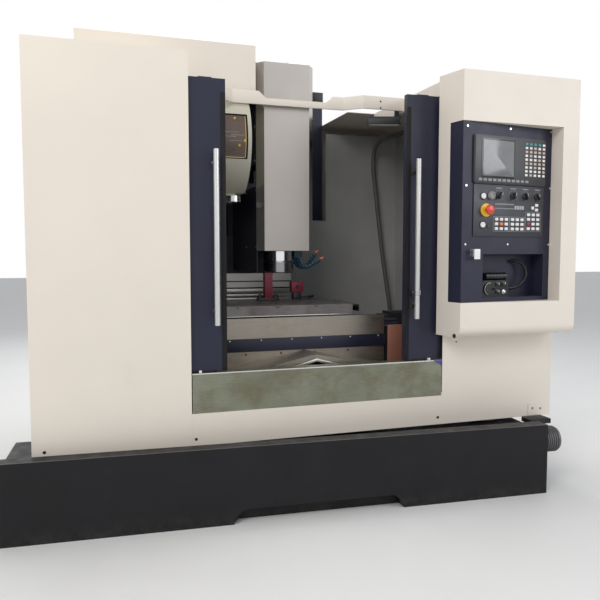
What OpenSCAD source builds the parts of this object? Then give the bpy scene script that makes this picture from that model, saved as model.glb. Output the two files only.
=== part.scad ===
// Vertical machining centre with a sliding-door enclosure, a disc tool magazine and a coolant tank.
// Millimetres. X runs to the right along the front, Y runs into the machine, Z is up.
// The floor is Z = 0. Before placed() moves it, X = 0 is the spindle axis and Y = 0 the front panels' plane.

/* [Enclosure] */
// Width of the enclosure over its side walls
encl_w = 2600; // [2500:10:2700]
// Height of the left front panel's top edge
encl_top = 2062; // [2050:1:2120]
// Height of the skirt's lower edge
skirt_z = 320; // [305:1:340]
// Depth of the side walls behind the front plane
encl_d = 1500; // [1450:10:1600]
// Thickness of the cover sheets
sheet_t = 3; // [2:0.5:4]
// Depth of the folded edges of the front panels
fold_d = 20; // [12:1:22]
// Width of the left front panel
left_panel_w = 671; // [640:1:700]
// Height of the sill plate's lower edge
sill_z0 = 468; // [440:1:500]
// Height of the sill plate's top edge
sill_z1 = 650; // [630:1:670]
// Distance of the inner side walls from the spindle axis
inner_x = 1000; // [980:5:1050]
// Front edge of the inner side walls
inner_y0 = 75; // [70:1:100]
// Front face of the inner back wall
inner_back_y = 1280; // [1275:1:1290]
// Height of the inner walls' top edge
inner_top = 1985; // [1950:5:2020]
// Height of the chip trays at the inner walls
tray_wall_z = 600; // [580:5:640]
// Height of the chip trays at the base casting
tray_base_z = 540; // [520:5:555]
// Height at which the back wall steps up beside the column
back_step_z = 1407; // [1300:1:1500]

/* [Roof] */
// Height of the roof sheets' top face
roof_z = 2055; // [2040:1:2060]
// Height of the rim band
rim_h = 70; // [60:1:90]
// Depth of the notch in the rim for the head
rim_notch = 35; // [20:1:45]
// Half width of the notch in the rim
rim_notch_x = 200; // [180:5:240]
// Front face of the rim in front of the head
rim_mid_y = 565; // [545:1:575]
// Front face of the rim beside the kinks
rim_side_y = 480; // [460:1:500]
// Half width of the rim's rear stretch
rim_mid_x = 330; // [300:5:360]
// Run of each kink along X
rim_kink = 70; // [50:5:100]
// Depth of the rim's section
rim_t = 12; // [8:1:12]
// Width of the magazine hood
hood_w = 924; // [900:1:960]
// Right side of the magazine hood
hood_x1 = -176; // [-190:1:-172]
// Front face of the magazine hood
hood_y0 = 600; // [590:1:640]
// Back of the magazine hood
hood_y1 = 1240; // [1180:10:1280]
// Height of the hood's front face
hood_front_z = 2300; // [2250:5:2350]
// Height of the hood's flat top
hood_top_z = 2370; // [2360:5:2420]
// Run of the sloping hood top
hood_slope = 80; // [40:5:120]

/* [Doors] */
// Width of one door
door_w = 620; // [600:5:640]
// Thickness of a door
door_t = 30; // [24:1:34]
// Front face of the doors behind the front plane
door_y = 25; // [24:1:27]
// Height of the doors' lower edge
door_z0 = 656; // [655:1:660]
// Height of the doors' top edge
door_z1 = 1960; // [1900:5:1962]
// Place along X where the closed doors meet
door_mid = -12; // [-20:1:0]
// Travel of one door
door_open = 447; // [420:1:460]
// Gap between the closed doors
door_gap = 4; // [2:1:8]
// Width of a door window
window_w = 340; // [260:5:360]
// Height of a door window
window_h = 760; // [600:10:820]
// Height of a window's lower edge
window_z0 = 980; // [900:10:1050]
// Distance from a door's meeting edge to its window
window_edge = 190; // [150:5:220]
// Thickness of the window panes
window_t = 8; // [5:1:10]
// Width of the door handles
handle_w = 28; // [20:1:34]
// Thickness of the door handles
handle_t = 16; // [12:1:20]
// Length of the door handles
handle_l = 780; // [600:10:900]
// Height of the handles' lower end
handle_z0 = 865; // [800:5:950]
// Stand-off from the door to the back of the handle bar
handle_off = 42; // [35:1:60]
// Distance from a door's meeting edge to its handle's axis
handle_edge = 44; // [35:1:55]

/* [Operator cabinet] */
// Width of the operator cabinet at the front plane
cab_w = 700; // [690:1:720]
// How far the cabinet stands out of the front plane
cab_out = 165; // [150:1:200]
// How far the cabinet's left side leans
cab_lean = 35; // [20:1:50]
// Height of the cabinet's underside
cab_z0 = 781; // [760:1:800]
// Radius of the cabinet's rounded lower edge
cab_round = 50; // [30:1:60]
// Height of the recess's lower edge
recess_z0 = 950; // [930:1:960]
// Height of the recess's top edge
recess_z1 = 1813; // [1800:1:1840]
// Width of the recess in the cabinet's front
recess_w = 570; // [560:1:580]
// Length of the recess on the cabinet's left side
recess_side = 85; // [60:1:95]
// Width of the slanted operator panel
panel_w = 566; // [560:1:568]
// Depth of the operator panel's right edge below the front
panel_sink = 75; // [70:1:76]
// Left edge of the pendant niche, along the panel
niche_u0 = 132; // [110:1:140]
// Right edge of the pendant niche, along the panel
niche_u1 = 525; // [480:1:530]
// Height of the niche's lower edge
niche_z0 = 970; // [965:1:990]
// Height of the niche's top edge
niche_z1 = 1184; // [1150:1:1200]
// Depth of the niche behind the panel
niche_d = 80; // [60:1:80]

/* [Operator panel items] */
// Thickness of the display unit's bezel
display_t = 12; // [8:1:20]
// Left edge of the display unit, along the panel
display_u0 = 59; // [55:1:62]
// Width of the display unit
display_w = 459; // [440:1:465]
// Height of the display unit
display_h = 233; // [210:1:240]
// Corner radius of the display unit
display_r = 14; // [6:1:20]
// Height of the display unit's lower edge
display_z0 = 1521; // [1521:1:1540]
// Width of the display's screen
screen_w = 192; // [180:1:200]
// Height of the display's screen
screen_h = 170; // [150:1:175]
// Thickness of the keypad plate
keypad_t = 5; // [3:0.5:8]
// Left edge of the keypad plate, along the panel
keypad_u0 = 64; // [60:1:68]
// Width of the keypad plate
keypad_w = 449; // [440:1:455]
// Height of the keypad plate
keypad_h = 250; // [246:1:251]
// Height of the keypad plate's lower edge
keypad_z0 = 1269; // [1266:1:1270]
// Width of a key
key_w = 26; // [20:1:28]
// Height of a key's face
key_face = 15; // [10:1:18]
// Pitch of the keys along the panel
key_p = 31.5; // [30:0.5:32]
// Pitch of the rows of keys
key_row = 23; // [20:0.5:24]
// Height of a key above its plate
key_h = 4; // [2:0.5:6]
// Width of a data-input key
mdi_w = 21; // [14:1:25]
// Height of a data-input key's face
mdi_face = 14; // [9:1:16]
// Pitch of the data-input keys along the panel
mdi_p = 28.5; // [27:0.5:29]
// Pitch of the data-input rows
mdi_row = 19; // [17:0.5:20]
// Radius of a rotary selector
selector_r = 17; // [12:1:20]
// Height of a rotary selector
selector_h = 22; // [16:1:30]
// Radius of a push button
button_r = 14; // [10:1:18]
// Height of a push button at rest
button_h = 9; // [7:1:14]
// Radius of the emergency stop's mushroom
estop_r = 24; // [18:1:26]
// Height of the emergency stop's top above the keypad plate
estop_h = 42; // [36:1:50]
// Length of the handwheel pendant
pendant_l = 170; // [150:1:180]
// Width of the handwheel pendant
pendant_w = 84; // [70:1:90]
// Thickness of the handwheel pendant
pendant_t = 36; // [28:1:40]
// Radius of the pendant's wheel
wheel_r = 30; // [22:1:34]
// Outer radius of the curly cord
curl_r = 9; // [7:0.5:11]

/* [Castings] */
// Width of the base casting
base_w = 900; // [860:10:940]
// Top face of the base casting
base_z1 = 560; // [555:1:562]
// Underside of the base casting
base_z0 = 60; // [45:5:80]
// Front of the base casting's foot
base_foot_y = 450; // [430:5:480]
// Front of the base casting's apron
base_y0 = 150; // [140:5:180]
// Underside of the apron
apron_z = 400; // [380:5:430]
// Back of the base casting
base_y1 = 1860; // [1850:5:1865]
// Radius of a levelling pad
pad_r = 60; // [45:5:80]
// Width of the column
column_w = 940; // [900:10:960]
// Front face of the column
column_y0 = 1330; // [1330:1:1340]
// Back face of the column
column_y1 = 1830; // [1780:10:1850]
// Top face of the column
column_z1 = 2250; // [2240:1:2260]
// Half width of the arch through the column's foot
arch_x = 240; // [200:5:260]
// Height of the arch above the base casting
arch_h = 300; // [260:5:340]

/* [Slides] */
// Width of the guide rails
rail_w = 35; // [30:1:45]
// Height of the guide rails
rail_h = 30; // [25:1:32]
// Radius of the ball screws
screw_r = 16; // [12:1:16]
// Half spacing of the saddle's rails
y_rail_x = 270; // [240:5:300]
// Half spacing of the head's rails
z_rail_x = 150; // [120:5:160]
// Half spacing of the table's rails
x_rail_y = 140; // [120:5:150]
// Width of the saddle
saddle_w = 1180; // [1180:10:1240]
// Depth of the saddle
saddle_d = 430; // [420:5:440]
// Top face of the saddle
saddle_z1 = 790; // [780:1:800]
// Place of the table's middle along X at rest
table_x = -220; // [-260:5:-180]
// Place of the table's middle along Y at rest
table_y = 570; // [565:1:575]
// Length of the table
table_l = 1000; // [980:10:1020]
// Width of the table
table_w = 500; // [480:5:505]
// Height of the table's top face
table_z = 920; // [915:1:925]
// Thickness of the table plate
table_t = 55; // [50:1:58]
// Width of a T-slot's mouth
slot_w = 18; // [14:1:22]
// Width of a T-slot's foot
slot_foot = 30; // [26:1:34]
// Pitch of the T-slots
slot_p = 100; // [80:5:110]
// Number of T-slots
slot_n = 5; // [3:1:5]
// Front face of the saddle's apron in front of the table
apron_y = 300; // [296:1:304]
// Lower edge of the saddle's bright apron
apron_low = 757; // [740:1:770]
// Width of the saddle's apron
apron_w = 910; // [880:10:940]
// Lower edge of the saddle's wiper strip
wiper_z = 700; // [695:1:705]
// Length of one plate of the front way cover
ycover_l = 180; // [176:1:184]
// Half width of the front way cover
ycover_x = 430; // [410:5:440]
// Rise of the front way cover from its edge to its ridge
ycover_rise = 84; // [60:2:90]
// Drop from one plate's ridge to the next
ycover_drop = 8; // [6:0.5:9]
// Step from one plate of a way cover to the next
cover_step = 5; // [4:0.5:6]
// Height of the outermost front cover plate's ridge
ycover_z = 690; // [686:1:694]
// Half width of the column way cover
zcover_x = 236; // [220:1:240]
// Height of one moving plate of the column way cover
zcover_h = 233; // [230:1:240]

/* [Head] */
// Place of the spindle axis along Y
spindle_y = 780; // [770:1:790]
// Height of the spindle nose at rest
nose_z = 1078; // [1074:1:1090]
// Radius of the spindle nose
nose_r = 85; // [75:1:88]
// Half width of the head casting
head_x = 158; // [150:1:160]
// Front face of the head casting
head_y0 = 660; // [655:1:670]
// Underside of the head casting
head_z0 = 1215; // [1210:1:1225]
// Top of the head casting above the spindle
head_z1 = 1560; // [1540:5:1600]
// Front face of the bright head cover
hcover_y0 = 600; // [590:1:610]
// Lower edge of the head cover
hcover_z0 = 1202; // [1195:1:1209]
// Top edge of the head cover
hcover_z1 = 2223; // [2180:1:2250]
// Half width of the head cover's front face
hcover_face = 129; // [120:1:135]
// Depth of the head cover behind the head casting's front
hcover_d = 300; // [260:10:340]
// Radius of the spindle motor
smotor_r = 105; // [90:5:115]
// Height of the spindle motor
smotor_h = 560; // [450:10:600]

/* [Tool magazine] */
// Radius of the magazine's drum
drum_r = 300; // [285:1:310]
// Place of the drum's axis along Y
drum_y = 810; // [800:1:820]
// Height of the drum's axis
drum_z = 1795; // [1780:1:1810]
// Right face of the drum
drum_x1 = -220; // [-230:1:-205]
// Width of the drum
drum_w = 380; // [340:5:400]
// Height of the drum's flat underside
drum_cut_z = 1520; // [1515:1:1530]
// Number of tool pots
pots = 20; // [16:2:24]
// Radius of a tool pot
pot_r = 24; // [18:1:26]
// Radius of the circle of tool pots
pot_circle = 215; // [200:1:225]
// Length of a tool pot
pot_l = 110; // [90:5:130]
// Place of the changer arm's pivot along X
arm_x = -350; // [-360:1:-340]
// Reach of the changer arm from its pivot to a gripper
arm_reach = 350; // [340:1:360]
// Height of the changer arm's underside
arm_z = 1450; // [1440:1:1460]
// Thickness of the changer arm
arm_t = 30; // [24:1:36]

/* [Rear] */
// Width of the electrical cabinet
ecab_w = 880; // [800:10:940]
// Depth of the electrical cabinet
ecab_d = 260; // [220:5:320]
// Height of the electrical cabinet's underside
ecab_z0 = 480; // [440:5:520]
// Height of the electrical cabinet's top
ecab_z1 = 1980; // [1900:10:2050]
// Gap between the column and the electrical cabinet
ecab_gap = 40; // [20:5:60]
// Thickness of the electrical cabinet's door
edoor_t = 20; // [14:1:28]

/* [Tank] */
// Length of the coolant tank
tank_l = 2520; // [2450:10:2560]
// Depth of the coolant tank
tank_d = 480; // [440:5:500]
// Height of the tank's front trough
tank_h = 343; // [330:1:360]
// Depth of the tank's front trough
trough_d = 78; // [70:1:82]
// Height of the tank under the enclosure
tank_low = 300; // [280:1:302]
// Angle at which the tank stands under the machine
tank_yaw = 3.8; // [0:0.1:4]
// Place of the tank's front left corner along X
tank_x0 = -1430; // [-1460:5:-1400]
// Place of the tank's front left corner along Y
tank_y0 = -91; // [-100:1:-88]
// Height of the toe recess in the tank's front
toe_h = 65; // [40:1:90]
// Depth of the toe recess
toe_d = 60; // [40:1:70]
// Start of the toe recess from the tank's left end
toe_x0 = 960; // [900:10:1000]
// End of the toe recess from the tank's left end
toe_x1 = 1760; // [1700:10:1850]
// Radius of the chip auger's motor
auger_r = 58; // [45:1:70]

/* [Transport blocks] */
// Width of the post between the table and the spindle nose
post_w = 46; // [36:1:56]
// Depth of the post
post_d = 40; // [30:1:46]
// Width of the post's foot plate
foot_w = 124; // [110:1:140]
// Depth of the post's foot plate
foot_d = 48; // [46:1:60]
// Thickness of the post's foot plate
foot_t = 12; // [8:1:16]
// Width of the block beside the post
block_w = 68; // [60:1:76]
// Depth of the block beside the post
block_d = 52; // [44:1:60]
// Height of the block above its neck
block_h = 60; // [50:1:70]

/* [Hidden] */
$fn = 48;
half_w = encl_w / 2;
open_x0 = -half_w + left_panel_w;
open_x1 = half_w - cab_w;
sill_gap = 4;
small_gap = 0.3;
run_gap = 0.05;
side_gap = 0.5;
seat_gap = 0.01;
slide_y0 = column_y0 - rail_h - 30;
slide_y1 = column_y0 - rail_h - 5;
ecab_y0 = column_y1 + ecab_gap;
ecab_y1 = ecab_y0 + ecab_d;
switch_h = 45;
back_y = ecab_y1 + edoor_t + switch_h;
front_y = tank_y0 - tank_l * sin(tank_yaw);
shift_x = -(tank_x0 + half_w) / 2;
shift_y = -(front_y + back_y) / 2;

// Shared helpers
module placed() { translate([shift_x, shift_y, 0]) children(); }
module slab(x, y, z) { translate([x[0], y[0], z[0]]) cube([x[1] - x[0], y[1] - y[0], z[1] - z[0]]); }
module mirrored() { children(); mirror([1, 0, 0]) children(); }
module along_x(x0, x1) { translate([x0, 0, 0]) rotate([90, 0, 90]) linear_extrude(x1 - x0) children(); }
module along_y(y0, y1) { translate([0, y1, 0]) rotate([90, 0, 0]) linear_extrude(y1 - y0) children(); }
module disc_x(x0, x1, y, z, r) { translate([x0, y, z]) rotate([0, 90, 0]) cylinder(r = r, h = x1 - x0); }
module disc_y(y0, y1, x, z, r) { translate([x, y1, z]) rotate([90, 0, 0]) cylinder(r = r, h = y1 - y0); }
module round_box(w, h, r) {
    square_in = [w - 2 * r, h - 2 * r];
    translate([r, 0]) square([square_in[0], h]);
    translate([0, r]) square([w, square_in[1]]);
    for (x = [r, w - r], y = [r, h - r]) translate([x, y]) circle(r);
}

// Castings
module base_casting() color([0.12, 0.14, 0.2]) placed() difference() {
    union() {
        along_x(-base_w / 2, base_w / 2) polygon([[base_y0, apron_z], [base_foot_y, apron_z],
            [base_foot_y, base_z0], [base_y1, base_z0], [base_y1, base_z1], [base_y0, base_z1]]);
        for (y = [y_screw_y0, y_screw_y1 - screw_block])
            slab([-screw_block, screw_block], [y, y + screw_block], [base_z1, y_screw_z + screw_r + block_wall]);
    }
    disc_y(y_screw_y0 - 1, y_screw_y1 + 1, 0, y_screw_z, screw_r + run_gap);
    slab([-motor_s / 2 - 8, motor_s / 2 + 8], [y_screw_y1, base_y1 - 60], [y_screw_z - motor_s / 2 - 8, base_z1 + 1]);
    for (x = [-1, 1], i = [0 : pocket_n - 1])
        slab([x * base_w / 2 - pocket_depth, x * base_w / 2 + pocket_depth],
            [base_foot_y + rib_t + i * pocket_pitch, base_foot_y + (i + 1) * pocket_pitch],
            [base_z0 + rib_t, base_z1 - rib_t]);
}
block_wall = 12;
y_screw_y0 = 200;
y_screw_y1 = column_y0 - 40;
screw_block = 40;
y_screw_z = base_z1 + 20;
motor_s = 130;
motor_l = 220;
rib_t = 40;
pocket_n = 4;
pocket_depth = 50;
pocket_pitch = (base_y1 - base_foot_y - rib_t) / pocket_n;

module column_casting() color([0.11, 0.13, 0.2]) placed() difference() {
    union() {
        slab([-column_w / 2, column_w / 2], [column_y0, column_y1], [base_z1, column_z1]);
        for (z = [z_screw_z0, z_screw_z1 - screw_block])
            slab([-screw_block, screw_block], [z_screw_y - screw_r - 8, column_y0], [z, z + screw_block]);
        slab([-motor_s / 2 - 10, motor_s / 2 + 10], [z_screw_y - motor_s / 2 + 20, column_y0],
            [column_z1 - screw_block, column_z1]);
    }
    translate([0, z_screw_y, z_screw_z0 - 1]) cylinder(r = screw_r + run_gap, h = column_z1 - z_screw_z0 + 2);
    slab([-arch_x, arch_x], [column_y0 - 1, column_y1 + 1], [base_z1 - 1, base_z1 + arch_h]);
}
z_screw_y = column_y0 - rail_h + 9;
z_screw_z0 = 1120;
z_screw_z1 = column_z1 - screw_block;

module leveling_feet() color("dimgray") placed()
    for (x = [-1, 1], y = [base_foot_y + 90, (base_foot_y + base_y1) / 2, base_y1 - 90])
        translate([x * (base_w / 2 - 100), y, 0]) {
            cylinder(r = pad_r, h = 22);
            cylinder(r = pad_r * 0.55, h = base_z0);
        }

module guide_rails() color("silver") placed() {
    for (x = [-y_rail_x, y_rail_x]) along_y(y_rail_y0, y_rail_y1) translate([x, base_z1]) rail_profile();
    for (x = [-z_rail_x, z_rail_x]) translate([x, column_y0, z_rail_z0]) rotate([0, 0, 180])
        linear_extrude(z_rail_z1 - z_rail_z0) rail_profile();
}
y_rail_y0 = base_y0 + 30;
y_rail_y1 = inner_back_y - 5;
z_rail_z0 = 1170;
z_rail_z1 = column_z1 - 20;
rail_neck = 5;
rail_half = rail_w / 2;
module rail_profile() polygon([[-rail_half, 0], [rail_half, 0], [rail_half, rail_h * 0.35],
    [rail_half - rail_neck, rail_h * 0.55], [rail_half, rail_h * 0.75], [rail_half, rail_h], [-rail_half, rail_h],
    [-rail_half, rail_h * 0.75], [-rail_half + rail_neck, rail_h * 0.55], [-rail_half, rail_h * 0.35]]);
module rail_slot() translate([-rail_half - side_gap, -1]) square([rail_w + 2 * side_gap, rail_h + side_gap + 1]);

// Enclosure sheets
module left_panel() color([0.93, 0.91, 0.84]) placed() {
    slab([-half_w, open_x0], [0, sheet_t], [skirt_z, encl_top]);
    slab([-half_w, -half_w + sheet_t], [0, fold_d], [skirt_z, encl_top]);
    slab([open_x0 - sheet_t, open_x0], [0, fold_d], [sill_z1 + sill_gap, encl_top]);
    slab([-half_w, open_x0], [0, fold_d], [encl_top - sheet_t, encl_top]);
    slab([-half_w, open_x0], [0, fold_d], [skirt_z, skirt_z + sheet_t]);
}
module front_skirt() color([0.93, 0.91, 0.84]) placed() {
    along_y(0, sheet_t) polygon([[open_x0 + small_gap, skirt_z], [half_w, skirt_z], [half_w, skirt_top],
        [sill_x1 + sill_gap, skirt_top], [sill_x1 + sill_gap, sill_z0 - small_gap],
        [open_x0 + small_gap, sill_z0 - small_gap]]);
    slab([open_x0 + small_gap, half_w], [0, fold_d], [skirt_z, skirt_z + sheet_t]);
    slab([half_w - sheet_t, half_w], [0, fold_d], [skirt_z, skirt_top]);
    plate_x = half_w - corner_plate_w - corner_plate_edge;
    translate([plate_x, 0, skirt_z]) rotate([90, 0, 0]) linear_extrude(sheet_t)
        round_box(corner_plate_w, corner_plate_h, corner_plate_r);
}
skirt_top = cab_z0 + 40;
corner_plate_r = 12;
corner_plate_w = 105;
corner_plate_h = 73;
corner_plate_edge = 35;
sill_x1 = open_x1 + cab_lean;
rail_back = door_y + door_t + 8;
module sill_plate() color([0.6, 0.64, 0.58]) placed() {
    slab([open_x0 + sill_gap, sill_x1], [0, sheet_t], [sill_z0, sill_z1]);
    slab([open_x0 + sill_gap, open_x1 - sill_gap], [0, rail_back], [sill_z1 - sheet_t, sill_z1]);
    slab([door_far_x0, door_far_x1], [fold_d + 2, rail_back], [sill_z1 - sheet_t, sill_z1]);
    slab([door_far_x0, door_far_x1], [rail_back - sheet_t, rail_back], [sill_z0, sill_z1]);
}
door_far_x0 = door_mid - door_open - door_w - 20;
door_far_x1 = door_mid + door_open + door_w + 20;

module housing_side(top) {
    slab([half_w - sheet_t, half_w], [fold_d, encl_d], [skirt_z, top]);
    slab([back_in_x, half_w], [encl_d - sheet_t, encl_d], [skirt_z, top]);
    slab([back_in_x, half_w], [fold_d + 4, encl_d], [top - sheet_t, top]);
}
back_in_x = column_w / 2 + 4;
guide_z = door_z1 + 5;
module door_guide(x0, x1, top) {
    slab([x0, x1], [rail_back - sheet_t, rail_back], [guide_z, top]);
    slab([x0, x1], [fold_d + 2, rail_back], [guide_z, guide_z + sheet_t]);
}
module roof_beam(x, y1, top) slab([x, x + sheet_t], [rail_back, y1], [top - rim_h, top]);
module left_housing() color([0.93, 0.91, 0.84]) placed() {
    difference() {
        mirror([1, 0, 0]) housing_side(roof_z);
        slab([hood_x0 + sheet_t, hood_x1], [hood_y0 + sheet_t, hood_y1 - sheet_t],
            [roof_z - 2 * sheet_t, roof_z + 1]);
        slab([open_x0, 0], [0, hood_y0], [roof_z - 2 * sheet_t, roof_z + 1]);
    }
    door_guide(door_far_x0, open_x0 - fold_d, roof_z - sheet_t);
    roof_beam(open_x0 - sheet_t, hood_y0, roof_z);
    hood();
}
hood_x0 = hood_x1 - hood_w;
module hood_profile(t) polygon([[hood_y0 + t, roof_z - t], [hood_y0 + t, hood_front_z - t * 0.4],
    [hood_y0 + hood_slope + t * 0.4, hood_top_z - t], [hood_y1 - t, hood_top_z - t], [hood_y1 - t, roof_z - t]]);
module hood() difference() {
    along_x(hood_x0, hood_x1) hood_profile(0);
    along_x(hood_x0 + sheet_t, hood_x1 - sheet_t) hood_profile(sheet_t);
}
cab_top = roof_z - 5;
right_roof_x = open_x1 + cab_lean + 15;
right_beam_y1 = 880;
module right_housing() color([0.93, 0.91, 0.84]) placed() {
    difference() {
        housing_side(cab_top);
        slab([0, right_roof_x], [0, right_beam_y1], [cab_top - 2 * sheet_t, cab_top + 1]);
    }
    slab([half_w - sheet_t, half_w], [0, fold_d], [skirt_top + small_gap, cab_top]);
    slab([half_w - fold_d, half_w], [0, sheet_t], [skirt_top + small_gap, cab_top]);
    roof_beam(right_roof_x, right_beam_y1, cab_top);
    door_guide(right_roof_x, door_far_x1, cab_top - sheet_t);
    hose_gland();
}
module hose_gland() {
    disc_y(gland_y - 40, gland_y, gland_x, gland_z, hose_r + 4);
    slab([gland_x - 12, gland_x + 12], [gland_y - 36, gland_y - 10], [gland_z, cab_top - 1]);
}
gland_x = 800;
gland_y = 735;
gland_z = 1925;
module inner_half() {
    slab([inner_x, inner_x + sheet_t], [inner_y0, inner_back_y + sheet_t], [tray_wall_z, inner_top]);
    along_y(inner_back_y, inner_back_y + sheet_t) polygon([[zcover_x + 14, base_z1],
        [base_w / 2 + small_gap, base_z1], [base_w / 2 + small_gap, tray_base_z], [inner_x, tray_wall_z], [inner_x, inner_top], [column_w / 2 + 10, inner_top],
        [column_w / 2 + 10, back_step_z], [zcover_x + 14, back_step_z]]);
    along_y(inner_y0, inner_back_y + sheet_t) polygon([[base_w / 2 + small_gap, tray_base_z],
        [inner_x + sheet_t, tray_wall_z], [inner_x + sheet_t, tray_wall_z + sheet_t],
        [base_w / 2 + small_gap, tray_base_z + sheet_t]]);
}
module inner_walls() color([0.55, 0.56, 0.55]) placed() {
    mirrored() inner_half();
    slab([-zcover_x - 16, zcover_x + 16], [zbase_y, zbase_y + sheet_t], [y_screw_z + screw_r + block_wall + 4, zbase_top]);
    ycover_plate(3, base_z1);
    translate([stub_at[0], stub_at[1], tray_wall_z - 15]) cylinder(r = hose_r + 3, h = stub_z - tray_wall_z + 15);
}
zbase_y = slide_y0 + 12;
stub_at = [942, 1205];
stub_z = 640;
zbase_top = 1150;

module rim_band(z0, z1) translate([0, 0, z0]) linear_extrude(z1 - z0) polygon(concat(rim_front, rim_back));
rim_left_x = open_x0;
rim_right_x = right_roof_x;
rim_front = [[rim_left_x, rim_side_y], [-rim_mid_x - rim_kink, rim_side_y], [-rim_mid_x, rim_mid_y],
    [rim_mid_x, rim_mid_y], [rim_mid_x + rim_kink, rim_side_y], [rim_right_x, rim_side_y]];
rim_back = [for (i = [len(rim_front) - 1 : -1 : 0]) rim_front[i] + [0, rim_t]];
module roof_rim() color([0.93, 0.91, 0.84]) placed() {
    difference() {
        rim_band(roof_z - rim_h, roof_z);
        slab([-rim_notch_x + 65, rim_notch_x + 25], [0, inner_back_y], [roof_z - rim_notch, roof_z + 1]);
    }
}

// Operator cabinet
module cab_solid() intersection() {
    translate([0, 0, cab_z0]) linear_extrude(cab_top - cab_z0)
        polygon([[open_x1, 0], [fold_x, -cab_out], [half_w, -cab_out], [half_w, 0]]);
    along_x(open_x1, half_w) union() {
        translate([-cab_out, cab_z0 + cab_round]) square([cab_out, cab_top - cab_z0]);
        translate([-cab_out + cab_round, cab_z0]) square([cab_out, cab_round]);
        translate([-cab_out + cab_round, cab_z0 + cab_round]) circle(cab_round);
    }
}
fold_x = open_x1 + cab_lean;
panel_angle = asin(panel_sink / panel_w);
panel_end = [fold_x + panel_w * cos(panel_angle), -cab_out + panel_sink];
cavity_d = niche_d + sheet_t + 2;
cavity_end = panel_end[1] + cavity_d * cos(panel_angle);
side_back = [open_x1 + cab_lean * (1 - recess_side / cab_out), -cab_out + recess_side];
cavity_x0 = fold_x - cavity_d * sin(panel_angle);
module operator_cabinet() color([0.93, 0.91, 0.84]) placed() difference() {
    cab_solid();
    translate([0, 0, recess_z0]) linear_extrude(recess_z1 - recess_z0) polygon([
        [open_x1 - 50, side_back[1] + 1], [cavity_x0, side_back[1] + 1], [panel_end[0] + side_gap, cavity_end],
        [panel_end[0] + side_gap, panel_end[1]], [fold_x + recess_w, -cab_out], [fold_x + recess_w, -cab_out - 50],
        [open_x1 - 50, -cab_out - 50]]);
}
module operator_panel() color([0.12, 0.13, 0.22]) placed() {
    difference() {
        translate([0, 0, recess_z0]) linear_extrude(recess_z1 - recess_z0) polygon([side_back,
            [fold_x, -cab_out], panel_end, panel_end + [0, sheet_t], [fold_x + sheet_t, -cab_out + sheet_t],
            side_back + [sheet_t, 0]]);
        on_panel() slab([niche_u0, niche_u1], [-5, sheet_t + 5], [niche_z0, niche_z1]);
        on_panel() disc_y(-5, sheet_t + 5, estop_at[0], estop_at[1], stem_r + side_gap);
    }
    on_panel() difference() {
        slab([niche_u0 - sheet_t, niche_u1 + sheet_t], [sheet_t / 2, niche_d + sheet_t],
            [niche_z0 - sheet_t, niche_z1 + sheet_t]);
        slab([niche_u0, niche_u1], [-5, niche_d], [niche_z0, niche_z1]);
    }
}
module on_panel() translate([fold_x, -cab_out, 0]) rotate([0, 0, panel_angle]) children();
module pad(u, z, w, face, base, rise) slab([u - w / 2, u + w / 2], [-base - rise, -base], [z - face / 2, z + face / 2]);
module keys(at, columns, rows) for (i = [0 : columns - 1], j = [0 : rows - 1])
    pad(keypad_u0 + at[0] + i * key_p, keypad_z0 + at[1] + j * key_row, key_w, key_face, keypad_t, key_h);
module display_unit() color([0.25, 0.26, 0.28]) placed() on_panel() translate([0, -seat_gap, 0]) {
    difference() {
        translate([display_u0, 0, display_z0]) rotate([90, 0, 0]) linear_extrude(display_t)
            round_box(display_w, display_h, display_r);
        slab([screen_u0, screen_u0 + screen_w], [-display_t - 1, -display_t + 4], [screen_z0, screen_z0 + screen_h]);
    }
    for (i = [0 : 4], j = [0 : 8])
        pad(display_u0 + 327 + i * mdi_p, display_z0 + 53 + j * mdi_row, mdi_w, mdi_face, display_t, 2);
    for (i = [0 : 10]) pad(display_u0 + 37 + i * 29.5, display_z0 + 20, 20, 13, display_t, 2);
}
screen_u0 = display_u0 + 52;
screen_z0 = display_z0 + 39;
module keypad_panel() color([0.1, 0.1, 0.13]) placed() on_panel() translate([0, -seat_gap, 0]) {
    difference() {
        slab([keypad_u0, keypad_u0 + keypad_w], [-keypad_t, 0], [keypad_z0, keypad_z0 + keypad_h]);
        for (b = [start_at, stop_at]) disc_y(-keypad_t - 1, -1, b[0], b[1], button_r + side_gap);
        disc_y(-keypad_t - 1, 1, estop_at[0], estop_at[1], stem_r + side_gap);
        for (s = selector_at) disc_y(-keypad_t - 1, -1, s[0], s[1], selector_stem + run_gap);
    }
    keys([143, 39], 3, 3);
    keys([245, 39], 3, 3);
    keys([350, 42], 3, 4);
    keys([402, 136], 1, 2);
    difference() {
        disc_y(-keypad_t - 6, -keypad_t, estop_at[0], estop_at[1], estop_r + 8);
        disc_y(-keypad_t - 7, -keypad_t + 1, estop_at[0], estop_at[1], stem_r + side_gap);
    }
    disc_y(-keypad_t - 16, -keypad_t, keypad_u0 + 106, keypad_z0 + 198, 18);
    disc_y(-keypad_t - 6, -keypad_t, keypad_u0 + 375, keypad_z0 + 145, 9);
}
start_at = [keypad_u0 + 57, keypad_z0 + 194];
stop_at = [keypad_u0 + 55, keypad_z0 + 56];
estop_at = [keypad_u0 + 76, keypad_z0 + 127];
selector_at = [for (u = [156, 247, 327, 406]) [keypad_u0 + u, keypad_z0 + 200]];
selector_stem = 4;
stem_r = 9;
module estop_button() color("red") placed() on_panel() {
    disc_y(-keypad_t - estop_h, -keypad_t - estop_h + 20, estop_at[0], estop_at[1], estop_r);
    disc_y(-keypad_t - estop_h + 19, -2, estop_at[0], estop_at[1], stem_r);
}
module push_button(at) placed() on_panel() disc_y(-keypad_t - button_h, -4, at[0], at[1], button_r);
module start_button() color("white") push_button(start_at);
module stop_button() color("white") push_button(stop_at);
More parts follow.
